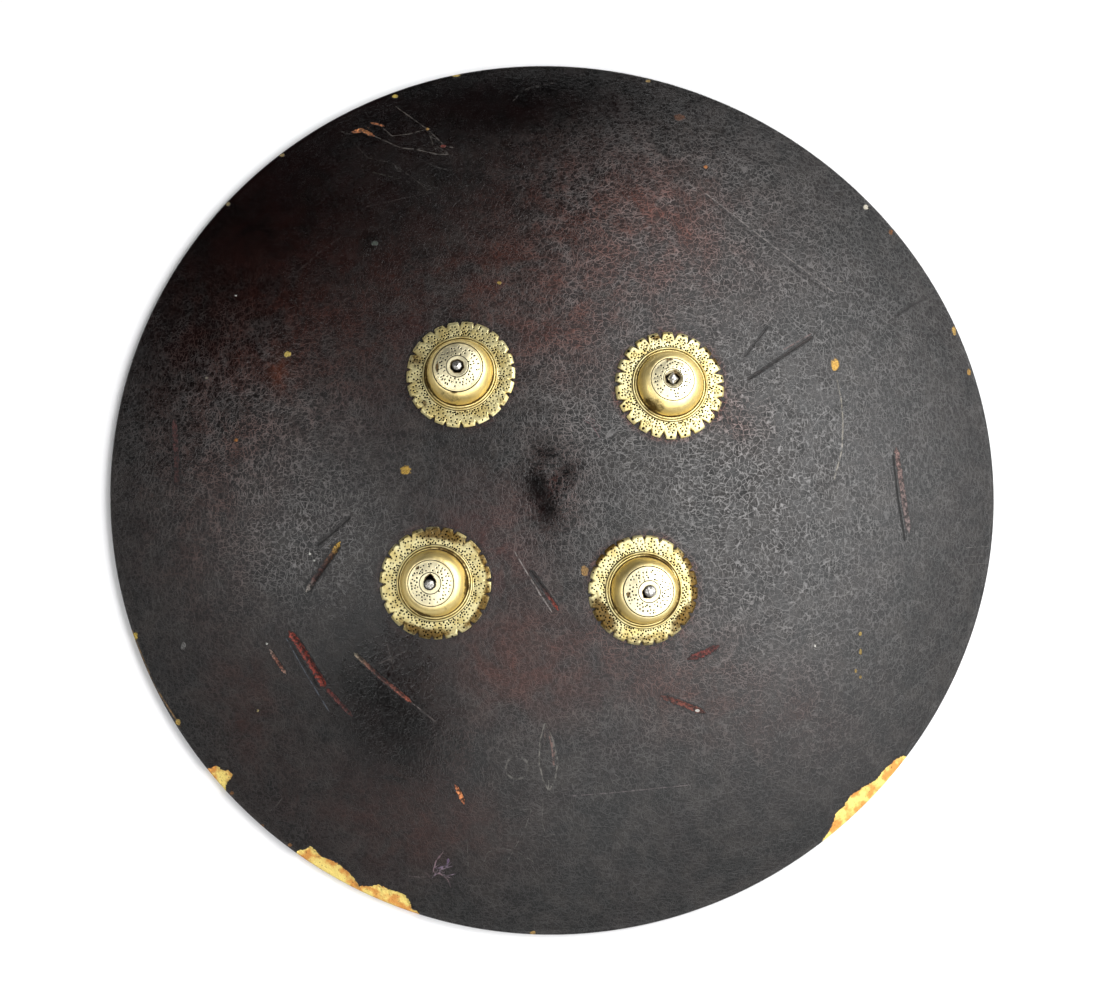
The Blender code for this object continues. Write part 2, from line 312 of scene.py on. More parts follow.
ring = {"at": (517, 767.7), "radius": 11.5, "step": 30}     # scratched low on the face
lowRing = tuple((ring["at"][0] + ring["radius"] * math.cos(math.radians(turn)),
                 ring["at"][1] + ring["radius"] * math.sin(math.radians(turn)))
                for turn in range(0, 361, ring["step"]))

# Thin lines: strength is how much their colour covers
scratches = table("path width color strength", (
    (((286, 638), (305, 672), (330, 713)), 0.9, "#747c8a", 0.6),
    (((411, 702), (425, 713), (437, 723)), 0.9, "#a09490", 0.7),
    (((386, 641), (390, 655), (394, 670)), 0.7, "#807874", 0.5),
    (((378, 664), (392, 658), (407, 650)), 0.7, "#807874", 0.5),
    (((513, 549), (526, 571), (540, 594), (552, 612)), 1.1, "#b0a8a4", 0.8),
    (((512, 757), (523, 757)), 0.9, "#8a8480", 0.6),
    (((571, 796), (610, 793), (650, 789), (690, 785)), 0.9, "#7c7072", 0.65),
    (((704, 192), (746, 225), (791, 260), (837, 295)), 1.1, "#a8a09c", 0.75),
    (((783, 350), (797, 342), (811, 334)), 1.1, "#9c7c78", 0.6),
    (((836, 376), (841, 398), (843, 421), (842, 450), (834, 480)), 1.2, "#b4ac9c", 0.8),
    (((838, 281), (843, 282)), 1.0, "#a8a090", 0.7),
    (((225, 359), (262, 357), (302, 358)), 0.7, "#5a5450", 0.5),
    (((395, 106), (427, 129), (445, 146), (455, 148)), 0.9, "#7c7670", 0.75),
    (((381, 126), (392, 136), (409, 134), (427, 129)), 0.8, "#7c7670", 0.7),
    (((374, 136), (401, 148), (414, 149), (436, 154), (454, 155)), 0.9, "#807a74", 0.75),
    (((427, 129), (436, 151)), 0.7, "#74706a", 0.6),
    (((353, 142), (368, 158), (392, 163), (409, 175), (428, 190)), 0.7, "#5c5854", 0.55),
    (((513, 101), (522, 91), (533, 87), (554, 83)), 1.4, "#5c5856", 0.55),
    (((297, 272), (320, 252), (342, 236)), 0.8, "#5c5452", 0.5),
    (((365, 207), (400, 199), (434, 192)), 0.8, "#5c5452", 0.5),
    (((340, 131), (346, 133), (351, 134)), 0.8, "#605c58", 0.6),
    (((394, 165), (399, 172), (405, 170)), 0.8, "#5c5a58", 0.6),
    (((372, 172), (384, 175), (399, 179)), 0.8, "#606058", 0.6),
    (((413, 150), (425, 145), (438, 147), (454, 157)), 0.8, "#686460", 0.6),
    (((422, 160), (436, 167), (451, 171)), 0.8, "#5c5a58", 0.6),
    (((419, 179), (430, 186)), 0.8, "#5c5a58", 0.5),
    (((364, 109), (370, 120)), 0.8, "#5c5a58", 0.5),
    (((426, 872), (431, 879)), 0.9, "#c0a0a8", 0.7),
    (((433, 872), (436, 861), (443, 852)), 1.0, "#b898a4", 0.7),
    (((436, 869), (447, 865), (449, 859)), 1.1, "#a08aa8", 0.75),
    (((434, 872), (441, 874), (448, 880), (451, 887)), 0.9, "#c0a0a8", 0.7),
    (((408, 876), (418, 877), (427, 877)), 0.7, "#8c7c80", 0.5),
    (((283, 797), (277, 805), (270, 811)), 0.9, "#706a66", 0.5),
    (((964, 548), (990, 546)), 0.6, "#8c8884", 0.5),
    (((960, 557), (984, 556)), 0.6, "#8c8884", 0.5),
    (((966, 565), (988, 563)), 0.6, "#8c8884", 0.4),
    (((131.5, 629), (141.5, 655), (154.5, 686), (168, 707), (181, 727)), 1.3, "#a8824e", 0.85),
    (((330, 121), (352, 110), (376, 99), (400, 89)), 0.9, "#6e685e", 0.6),
    (((449, 488), (455, 504)), 0.7, "#6c6866", 0.5),
    (((545, 722), (540, 740), (539, 762), (543, 780), (549, 791)), 1.2, "#8e8a82", 0.75),
    (((545, 722), (553, 740), (558, 762), (555, 780), (549, 791)), 1.2, "#8e8a82", 0.75),
    (((548, 728), (552, 748), (554, 766)), 1.4, "#a07a70", 0.7),
    (lowRing, 1.6, "#7c7872", 0.75),
    (((543, 802), (542, 822), (546, 836), (556, 834)), 0.8, "#686460", 0.7),
    (((512, 812), (532, 808), (526, 826), (516, 846), (507, 862)), 0.8, "#686460", 0.7),
    (((484, 862), (488, 852), (503, 848), (518, 852), (534, 862)), 0.8, "#686460", 0.6),
    (((467, 838), (468, 858), (468, 878)), 0.7, "#686460", 0.6),
    (((431, 879), (440, 870), (452, 866)), 0.9, "#b8a0b4", 0.7),
    (((437, 871), (447, 876), (455, 874)), 0.8, "#b8a0b4", 0.6),
    (((582, 419), (592, 425), (600, 438)), 0.8, "#9c7074", 0.6),
    (((586, 416), (594, 420), (601, 428)), 0.6, "#9c7074", 0.5),
))

# Bare or stained spots: half widths in pixels, depth is how deep the lacquer is lost
spots = table("at half color depth", (
    ((835, 365), (4.5, 6.5), "#ffc860", 0.3),
    ((405.7, 470), (5.5, 5.0), "#c8a040", 0.25),
    ((584.5, 571), (4.0, 6.0), "#a8824c", 0.3),
    ((287.6, 354.3), (4.0, 3.4), "#e0c468", 0.2),
    ((309.6, 553.7), (1.8, 1.8), "#d8d8d0", 0.0),
    ((313.6, 560.4), (1.8, 1.6), "#d0d0c8", 0.0),
    ((266.8, 643.4), (1.6, 1.6), "#e8e8e0", 0.0),
    ((183.4, 645.7), (3.0, 4.5), "#7a7876", 0.0),
    ((257.6, 710.7), (1.8, 1.8), "#b0a070", 0.0),
    ((697.5, 710.8), (2.4, 1.8), "#e8e4dc", 0.0),
    ((815, 646), (1.6, 1.6), "#e8e4dc", 0.0),
    ((236, 440), (2.8, 2.0), "#a86c30", 0.1),
    ((235.9, 295.4), (1.6, 1.4), "#f0f0e8", 0.0),
    ((206, 378), (2.2, 1.6), "#8c8474", 0.0),
    ((860.2, 633.9), (2.0, 2.4), "#c0a458", 0.1),
    ((860.5, 652), (1.8, 3.0), "#b89c54", 0.1),
    ((855.7, 671), (1.6, 2.4), "#a88c50", 0.1),
    ((860.5, 677), (1.6, 2.0), "#a88c50", 0.1),
    ((706, 167), (2.6, 2.2), "#c07c44", 0.1),
    ((679.4, 117.4), (6.5, 4.5), "#5c3a26", 0.1),
    ((499.3, 282.7), (2.6, 2.0), "#b09448", 0.1),
    ((374.7, 243), (4.0, 3.0), "#4c544c", 0.0),
    ((427.5, 129), (2.2, 1.8), "#b08848", 0.1),
    ((443, 146), (3.0, 2.2), "#7c3428", 0.1),
    ((873, 789), (1.8, 1.6), "#c8b070", 0.1),
    ((854, 808), (2.0, 1.6), "#c8b070", 0.1),
    ((448, 861), (1.8, 2.6), "#7a6080", 0.0),
    ((395, 96), (3.4, 2.4), "#f0d468", 0.5),
    ((282, 155), (3.6, 2.0), "#a08a5c", 0.4),
    ((228, 204), (2.8, 2.4), "#988860", 0.4),
    ((456, 75), (5.0, 2.4), "#e0c060", 0.4),
    ((648, 81), (2.8, 1.8), "#a88c58", 0.4),
    ((866, 207), (3.0, 3.0), "#ece4d0", 0.5),
    ((891, 232), (2.6, 3.6), "#8c5c34", 0.4),
    ((954, 331), (2.4, 5.0), "#d8b060", 0.4),
    ((969, 372), (2.4, 4.0), "#c89c50", 0.4),
    ((135.5, 636), (2.6, 4.5), "#e8c858", 0.5),
    ((178, 722), (3.0, 3.4), "#d8b45c", 0.4),
    ((533, 933), (3.4, 2.2), "#c8a058", 0.4),
    ((232, 793), (2.4, 2.4), "#8a6038", 0.3),
    ((262, 826), (2.6, 2.2), "#8a6038", 0.3),
    ((290, 845), (3.0, 2.0), "#94683c", 0.3),
))

chips = {   # flakes off the rim down to the raw hide: each inner edge from end to end
    "paths": [
        ((207, 768), (210, 768.5), (216, 764.5), (223, 770), (228, 769.5), (234, 774.5), (231, 779),
         (227.5, 782), (226, 788), (227, 794)),
        ((296, 853), (297, 850), (304, 849.5), (310, 845.7), (315.5, 850), (321, 855.6), (334, 861),
         (343, 867), (351, 874), (358.5, 884), (359, 890)),
        ((358.5, 887), (359.5, 885.5), (370.6, 885.5), (378, 884), (387.5, 888.5), (403, 893),
         (409, 899), (412.7, 909), (418, 911.5), (420, 915)),
        ((822, 840), (825.7, 835.4), (830, 828.7), (833.6, 821), (835, 813.8), (843, 806), (850, 795.6),
         (863, 786.4), (874.6, 780.6), (885.4, 768), (897, 757.8), (903.6, 755), (908, 757)),
    ],
    "past": 1.06,           # how far past the rim each flake's outline is closed
    "depth": 1.1,
    "step": 1.0,            # width of the broken edge
    "ragged": 0.7,
}

# Soft broad patches in the lacquer, half widths in pixels
stains = table("at half color cover", (
    ((552, 487), (30, 40), "#020303", 0.85),
    ((552, 487), (11, 13), "#18191b", 0.30),
    ((330, 290), (170, 130), "#1c0b09", 0.80),
    ((500, 190), (170, 80), "#150908", 0.65),
    ((640, 240), (110, 80), "#1e0e0c", 0.60),
    ((190, 520), (70, 130), "#170907", 0.55),
    ((560, 330), (80, 60), "#1c0c0b", 0.50),
    ((244, 706), (34, 60), "#190b09", 0.55),
    ((330, 790), (90, 60), "#140909", 0.45),
    ((420, 830), (90, 40), "#180a09", 0.45),
    ((600, 660), (120, 60), "#190c0c", 0.50),
    ((780, 720), (90, 50), "#1b0c0c", 0.40),
    ((495, 275), (60, 50), "#250f0a", 0.70),
    ((665, 215), (50, 42), "#2c140e", 0.75),
    ((555, 320), (60, 50), "#250f0a", 0.60),
    ((310, 330), (90, 60), "#1c0b08", 0.60),
    ((520, 660), (80, 50), "#381a12", 0.70),
    ((690, 690), (50, 40), "#2a150f", 0.60),
    ((482, 548), (50, 56), "#301412", 0.80),
    ((420, 825), (90, 45), "#2c1510", 0.60),
    ((250, 700), (40, 60), "#240f0a", 0.60),
    ((414, 332), (16, 14), "#2c0e0c", 0.60),
    ((280, 371), (9, 17), "#4a2210", 0.85),
    ((798, 715), (10, 12), "#24100d", 0.50),
    ((376, 240), (20, 16), "#020202", 0.70),
    ((444, 750), (36, 26), "#030303", 0.60),
    ((430, 180), (36, 16), "#030303", 0.60),
    ((235, 440), (30, 40), "#050506", 0.40),
    ((620, 640), (60, 24), "#070606", 0.40),
    ((740, 420), (30, 30), "#070708", 0.40),
))

# Where old wax lies thick and the skin is smoother
glossPatches = table("at half cover", (
    ((550, 488), (36, 44), 0.55),
    ((569, 470), (14, 14), 0.6),
    ((548, 453), (15, 9), 0.5),
    ((536, 484), (12, 15), 0.55),
    ((549, 511), (15, 22), 0.6),
    ((225, 185), (150, 140), 1.0),
    ((195, 345), (90, 120), 0.7),
    ((500, 100), (190, 50), 0.8),
    ((565, 200), (90, 70), 0.4),
    ((385, 685), (56, 62), 0.7),
    ((430, 755), (52, 44), 0.6),
))

# How much more or less the craquelure stands up there than elsewhere, and how pale its ridges are
# painted, which is partly painted sheen
grainPatches = table("at half cover", (
    ((725, 465), (75, 90), 0.60),
    ((745, 600), (90, 60), 0.22),
    ((375, 650), (70, 60), -0.10),
    ((465, 195), (110, 90), -0.12),
    ((395, 700), (60, 80), -0.14),
    ((800, 520), (130, 130), 0.35),
    ((690, 240), (130, 110), 0.48),
    ((560, 330), (70, 60), 0.08),
    ((840, 350), (110, 140), 0.30),
    ((590, 420), (60, 70), 0.45),
    ((560, 520), (60, 60), 0.25),
    ((600, 260), (150, 120), 0.14),
    ((250, 430), (100, 90), 0.35),
    ((290, 540), (85, 62), 0.42),
    ((620, 680), (220, 90), 0.15),
    ((240, 190), (150, 120), -0.12),
    ((500, 100), (190, 40), -0.12),
    ((569, 470), (14, 14), -0.4),
    ((548, 453), (15, 9), -0.3),
    ((536, 484), (12, 15), -0.4),
    ((549, 511), (15, 22), -0.4),
))
plainGrain = 0.10       # its strength elsewhere
markTone = 0.50         # the marks' colours, as seen, are darkened to this share of themselves
farAway = 9.0           # metres, further than any point lies from a mark


# How far along a path, how far across it and how far past its ends each plan point lies
def alongPath(points, path):
    nearest = np.full(len(points), farAway)
    along = np.zeros(len(points))
    across = np.full(len(points), farAway)
    past = np.zeros(len(points))
    start = 0.0
    for first, last in zip(path, path[1:]):
        run = last - first
        length = np.hypot(run[0], run[1])
        share = (points - first) @ run / length ** 2
        held = np.clip(share, 0, 1)
        offset = points - first - np.outer(held, run)
        distance = np.hypot(offset[:, 0], offset[:, 1])
        side = np.where(run[0] * offset[:, 1] - run[1] * offset[:, 0] < 0, -1.0, 1.0)
        closer = distance < nearest
        nearest = np.where(closer, distance, nearest)
        along = np.where(closer, start + held * length, along)
        across = np.where(closer, distance * side, across)
        past = np.where(closer, np.abs(share - held) * length, past)
        start += length
    return along, across, past, start


# True for the plan points that lie inside a closed outline
def insideOutline(points, outline):
    inside = np.zeros(len(points), bool)
    for first, last in zip(outline, np.roll(outline, -1, axis=0)):
        crosses = (first[1] > points[:, 1]) != (last[1] > points[:, 1])
        rise = last[1] - first[1] if last[1] != first[1] else 1e-12
        at = first[0] + (points[:, 1] - first[1]) * (last[0] - first[0]) / rise
        inside ^= crosses & (points[:, 0] < at)
    return inside


noChip = -50.0      # mm into a flake, for points that lie far from any


# Distance into the nearest flake, in mm, negative outside it
def chipInside(points):
    best = np.full(len(points), noChip)
    for path in chips["paths"]:
        edge = onFace(path)
        closing = (edge[[-1, 0]] + middle) * chips["past"] - middle
        inside = insideOutline(points, np.vstack([edge, closing]))
        distance = np.abs(alongPath(points, edge)[1]) / mm
        best = np.maximum(best, np.where(inside, distance, -distance))
    return best


# Distance in mm from each plan point to the nearest mark that needs a finer mesh
def markDistance(points, deepOnly):
    nearest = np.full(len(points), farAway / mm)
    for mark in gouges if deepOnly else gouges + scratches:
        across = np.abs(alongPath(points, onFace(mark["path"]))[1]) / mm
        nearest = np.minimum(nearest, across - mark["width"] / 2)
    for spot in spots:
        if deepOnly and not spot["depth"]:
            continue
        offset = points - onFace(spot["at"])[0]
        reach = max(spot["half"]) * pixelWide / mm
        nearest = np.minimum(nearest, np.hypot(offset[:, 0], offset[:, 1]) / mm - reach)
    return np.minimum(nearest, np.abs(chipInside(points)))


# Section of a gouge or scratch, in half widths from its middle unless a line says otherwise
cut = {
    "scratchDepth": 0.08,       # mm
    "taper": 0.8,               # widths over which a line thins out to its ends
    "thinnest": 0.3,            # share of its width there
    "floor": (0.25, 1.0),       # from the floor to the face
    "lip": 0.22,                # height of the lip beside it, as a share of its depth
    "lipRise": (0.8, 1.15),
    "lipFall": (1.2, 1.9),
    "gougeReach": 1.8,          # how far out a line's colour may spread
    "scratchReach": 3.0,
}
farOff = 20.0       # half widths from a mark, for points that lie on none


# Where each point lies on its nearest line: share of its half width, mm along it and how
# surely it belongs to that line, with the line's colour and relief there in mm
def paintLines(points, marks, spacing, reach):
    count = len(points)
    nearest = np.full(count, farAway)
    second = np.full(count, farAway)
    place = np.zeros((count, 3))
    place[:, 0] = farOff
    tint = np.zeros((count, 4))
    relief = np.zeros(count)
    for mark in marks:
        along, across, past, length = alongPath(points, onFace(mark["path"]))
        distance = np.abs(across)
        closer = distance < nearest
        second = np.where(closer, nearest, np.minimum(second, distance))
        nearest = np.where(closer, distance, nearest)
        taper = min(length / 3, cut["taper"] * mark["width"] * mm)
        toEnd = np.minimum(along, length - along)
        width = cut["thinnest"] + (1 - cut["thinnest"]) * smooth(toEnd, 0, taper)
        half = mark["width"] * mm / 2 * width
        sure = 1 - smooth(past, 0, spacing)
        ratio = across / half
        tones = np.array([linear(c) for c in mark.get("colors") or (mark["color"],) * 2])
        stops = np.linspace(0, length, len(tones))
        mixed = np.stack([np.interp(along, stops, tones[:, i]) for i in range(4)], axis=1)
        mixed[:, :3] *= markTone
        mixed[:, 3] = mark.get("strength", mark.get("bare", 1.0))
        near = sure * (1 - smooth(np.abs(ratio), reach, reach * 1.4))
        here = np.stack([ratio, along / mm, near], axis=1)
        place = np.where(closer[:, None], here, place)
        tint = np.where(closer[:, None], mixed, tint)
        depth = mark.get("depth", cut["scratchDepth"]) * smooth(toEnd, 0, taper) * sure
        floor = 1 - smooth(np.abs(ratio), *cut["floor"])
        lip = cut["lip"] * smooth(np.abs(ratio), *cut["lipRise"])
        lip = lip * (1 - smooth(np.abs(ratio), *cut["lipFall"]))
        relief = np.where(closer & (distance < 4 * half), depth * (lip - floor), relief)
    place[:, 2] *= smooth((second - nearest) / spacing, 0.2, 0.9)
    return place, tint, relief


# Offsets of plan points from a mark's middle, in its half widths
def offsetsFrom(mark, points):
    return (points - onFace(mark["at"])[0]) / (np.array(mark["half"]) * pixelWide)


# Share of the way out of the nearest spot, its colour and the relief of its bare floor
def paintSpots(points):
    place = np.full(len(points), farOff)
    tint = np.zeros((len(points), 4))
    relief = np.zeros(len(points))
    for spot in spots:
        ratio = np.hypot(*offsetsFrom(spot, points).T)
        closer = ratio < place
        place = np.where(closer, ratio, place)
        tint = np.where(closer[:, None], np.array(linear(spot["color"])) * markTone, tint)
        relief = np.where(closer, -spot["depth"] * (1 - smooth(ratio, 0.6, 1.1)), relief)
    return place, tint, relief


# 0 under the bosses, 1 further off and an easy slope from low to high metres from their axes
def clearOfBosses(points, low, high):
    clear = np.ones(len(points))
    for seat in seats.values():
        clear *= smooth(np.hypot(*(points - (np.array(seat) - middle)).T), low, high)
    return clear


# Colour and cover of the soft patches, laid over each other in turn, then black round the bosses: old wax
# and dirt, and their painted contact shadow
def paintStains(points):
    color = np.zeros((len(points), 4))
    for stain in stains:
        cover = stain["cover"] * np.exp(-(offsetsFrom(stain, points) ** 2).sum(axis=1))
        under = color[:, 3] * (1 - cover)
        total = np.maximum(under + cover, 1e-6)
        fresh = np.array(linear(stain["color"]))[:3]
        color[:, :3] = (color[:, :3] * under[:, None] + fresh * cover[:, None]) / total[:, None]
        color[:, 3] = under + cover
    # Black round each boss: old wax and dirt, and a painted contact shadow beside the flange's edge
    clear = clearOfBosses(points, *hideMesh["dirtAndShadowRound"])
    color[:, :3] *= clear[:, None]
    color[:, 3] = 1 - (1 - color[:, 3]) * clear
    return color


# Strength of something that comes and goes in soft patches, at each point
def paintPatches(points, patches, plain):
    strength = np.full(len(points), plain)
    for patch in patches:
        strength = strength + patch["cover"] * np.exp(-(offsetsFrom(patch, points) ** 2).sum(axis=1))
    return np.clip(strength, 0, 1)


# The hide: a drum of even triangles, finer along the marks, laid over the bowl's form

hideMesh = {
    "rings": (60, 2),       # rings from the crown to the rim, and how often each is halved
    "backRings": 40,
    "wallRows": 8,
    "finer": ((2.6, False), (1.3, True)),       # mm from a mark, and whether from the deep ones alone
    "finerRows": 5,         # rows of the wall that are made finer too, counted from the face
    "finest": 0.5,          # mm between vertices along the marks
    "swell": 0.45,          # mm, the hide's broad unevenness, and its width
    "swellWidth": 80.0,
    "lumps": 0.07,
    "lumpWidth": 13.0,
    "crumbWidth": 1.6,      # of the broken hide in the flakes
    "crumbs": 0.35,         # mm, how uneven it is
    "quiet": (0.9, 0.99),   # shares of the way out, over which the unevenness dies down to the rim
    "flatUnder": (0.0295, 0.036),   # metres from a boss's axis, where the hide lies flat for it
    "dirtAndShadowRound": (0.0295, 0.0325),  # and where old wax and dirt lie round it, with the flanges' painted contact shadow
    "backShare": 0.8,       # how much of the unevenness shows at the back
}


# A hexagon of even triangles, with its edge cut further
def trianglePlate(height, cuts, edgeCuts):
    deselectAll()
    bpy.ops.mesh.primitive_circle_add(vertices=6, radius=1, fill_type="TRIFAN", location=(0, 0, height))
    plate = bpy.context.object
    bpy.ops.object.transform_apply(location=True)
    for number in cuts:
        with editing(chosen="all"):
            bpy.ops.mesh.subdivide(number_cuts=number)
    if edgeCuts:
        with editing("EDGE", "open"):
            bpy.ops.mesh.subdivide(number_cuts=edgeCuts)
    return plate


# Two plates and the wall between them, one closed skin
def drum():
    rings, halves = hideMesh["rings"]
    face = trianglePlate(1, (rings - 1, halves - 1), 0)
    edgeCuts = rings * halves // hideMesh["backRings"] - 1
    back = trianglePlate(-1, (hideMesh["backRings"] - 1,), edgeCuts)
    back.select_set(True)
    face.select_set(True)
    bpy.context.view_layer.objects.active = face
    bpy.ops.object.join()
    with editing("EDGE", "open"):
        bpy.ops.mesh.bridge_edge_loops(number_cuts=hideMesh["wallRows"] - 1)
    with editing(chosen="all"):
        bpy.ops.mesh.normals_make_consistent(inside=False)
        bpy.ops.mesh.quads_convert_to_tris()
    return face


# From the drum's hexagon to a share of the way out and a direction
def roundOff(points):
    corner = math.radians(30)
    angle = np.arctan2(points[:, 1], points[:, 0])
    sector = np.floor((angle - corner) / (math.pi / 3))
    start = corner + sector * math.pi / 3
    end = start + math.pi / 3
    first = np.cos(start), np.sin(start)
    last = np.cos(end), np.sin(end)
    area = first[0] * last[1] - first[1] * last[0]
    toLast = (first[0] * points[:, 1] - first[1] * points[:, 0]) / area
    toFirst = (points[:, 0] * last[1] - points[:, 1] * last[0]) / area
    share = toFirst + toLast
    turn = toLast / np.maximum(share, 1e-9)
    return share, start + turn * math.pi / 3


# Inward step and height of the inner face under a share of the outer one
def innerAt(share):
    slope = (bowl["depth"] - bowl["edgeHeight"]) * bowl["power"] / bowl["rimRadius"]
    slope = slope * share ** (bowl["power"] - 1)
    reach = np.sqrt(1 + slope ** 2)
    return bowl["thickness"] * slope / reach, domeHeight(share) - bowl["thickness"] / reach


# The drum's points on the bowl: plan point, height and which skin each belongs to
def layOver(points):
    share, angle = roundOff(points)
    outline = outlineRadius(angle)
    cornerShare = 1 - bowl["cornerRound"] / bowl["rimRadius"]
    onTop = points[:, 2] > 1 - 1e-4
    onBack = points[:, 2] < -1 + 1e-4

    shares = np.linspace(0.5, 1, 500)
    footShare = np.interp(0, -innerAt(shares)[1], shares)
    footInset = bowl["rimRadius"] * (1 - footShare) + innerAt(footShare)[0]

    corner = bowl["cornerRound"]
    top = domeHeight(cornerShare)
    turns = np.radians((0, 30, 60, 90))
    foot = bowl["footRound"]
    insets = [*corner * (1 - np.sin(turns)), 0, 0, foot, (foot + footInset) / 2, footInset]
    heights = [*top - corner * (1 - np.cos(turns)), (top - corner + foot) / 2, foot, 0, 0, 0]
    row = (1 - points[:, 2]) / 2 * hideMesh["wallRows"]
    rows = np.arange(hideMesh["wallRows"] + 1)
    radius = outline - np.interp(row, rows, insets)
    height = np.interp(row, rows, heights)

    radius = np.where(onTop, outline * share * cornerShare, radius)
    height = np.where(onTop, domeHeight(share * cornerShare), height)
    inset, under = innerAt(share * footShare)
    radius = np.where(onBack, outline * share * footShare - inset, radius)
    height = np.where(onBack, np.maximum(under, 0), height)
    plan = np.stack([radius * np.cos(angle), radius * np.sin(angle)], axis=1) - middle
    return plan, height, np.where(onBack, 2, np.where(onTop, 0, 1)), row


# Cuts the faces near the marks, so that scars and flakes have room for their shape
def refine(shell):
    for reach, deepOnly in hideMesh["finer"]:
        points = readPoints(shell)
        plan, _, skin, row = layOver(points)
        shown = (skin == 0) | ((skin == 1) & (row < hideMesh["finerRows"]))
        near = (markDistance(plan, deepOnly) < reach) & shown
        corners = np.empty(len(shell.data.polygons) * 3, np.int32)
        shell.data.polygons.foreach_get("vertices", corners)
        chosen = near[corners.reshape(-1, 3)].any(axis=1)
        used = np.zeros(len(points), bool)
        used[corners.reshape(-1, 3)[chosen].ravel()] = True
        with editing("FACE", "none"):
            pass
        shell.data.polygons.foreach_set("select", chosen)
        shell.data.vertices.foreach_set("select", used)
        with editing():
            bpy.ops.mesh.subdivide(number_cuts=1)
        with editing(chosen="all"):
            bpy.ops.mesh.quads_convert_to_tris()


def makeHide():
    shell = drum()
    shell.name = "lacquered_hide"
    refine(shell)
    plan, height, skin, _ = layOver(readPoints(shell))

    spacing = hideMesh["finest"] * mm
    gougePlace, gougeTint, gougeRelief = paintLines(plan, gouges, spacing, cut["gougeReach"])
    scratchPlace, scratchTint, scratchRelief = paintLines(
        plan, scratches, spacing, cut["scratchReach"])
    spotPlace, spotTint, spotRelief = paintSpots(plan)
    chip = chipInside(plan)

    swell = noiseAt(*plan.T / mm / hideMesh["swellWidth"], 3.0)
    lumps = noiseAt(*plan.T / mm / hideMesh["lumpWidth"], 7.0)
    crumb = noiseAt(*plan.T / mm / hideMesh["crumbWidth"], height / mm / hideMesh["crumbWidth"])
    quiet = 1 - smooth(shareAt(*plan.T)[0], *hideMesh["quiet"])
    relief = (hideMesh["swell"] * swell * quiet + hideMesh["lumps"] * lumps) * mm
    relief = relief * clearOfBosses(plan, *hideMesh["flatUnder"])

    broken = smooth(chip + chips["ragged"] * crumb, 0, chips["step"])
    drop = broken * (chips["depth"] + hideMesh["crumbs"] * crumb)
    face = np.where(skin == 0, relief + (gougeRelief + scratchRelief + spotRelief - drop) * mm, 0)
    edgeTop = domeHeight(1 - bowl["cornerRound"] / bowl["rimRadius"]) - bowl["cornerRound"]
    held = np.clip((height - bowl["footRound"]) / (edgeTop - bowl["footRound"]), 0, 1)
    wall = np.where(skin == 1, (spotRelief - drop) * mm * held, 0)
    back = np.where(skin == 2, relief * hideMesh["backShare"], 0)
    points = np.column_stack([plan, np.maximum(height + face + wall + back, 0)])
    writePoints(shell, points)

    gougePlace[skin == 2, 2] = 0        # no marks on the back
    scratchPlace[skin == 2, 2] = 0
    painted = {
        "gouge": gougePlace,
        "gougeTint": gougeTint,
        "scratch": scratchPlace,
        "scratchTint": scratchTint,
        "spot": np.where(skin == 2, farOff, spotPlace),
        "spotTint": spotTint,
        "chip": np.where(skin == 2, noChip, chip),
        # soft stains, and the painted contact shadow round the bosses
        "stain": paintStains(plan),
        "grain": paintPatches(plan, grainPatches, plainGrain),
        "gloss": paintPatches(plan, glossPatches, 0.0),
        "inside": np.where(skin == 2, 1.0, 0.0),
    }
    for name, values in painted.items():
        paintNumbers(shell, name, values)
    shell.data.shade_smooth()
    return shell


hide = makeHide()
print("hide laid over its form:", len(hide.data.polygons), "triangles")


# Lacquered rawhide, moulded wet over a form, painted black and brown and rubbed for years: a satin
# skin whose grey is mostly sheen, over a web of raised craquelure with cells 1.5 and 3.3 mm wide.
# The marks come from the attributes painted above: torn gouges with red hide in them, thin pale
# scratches, bare spots, flakes down to the yellow raw hide, soft stains and smooth waxed places.

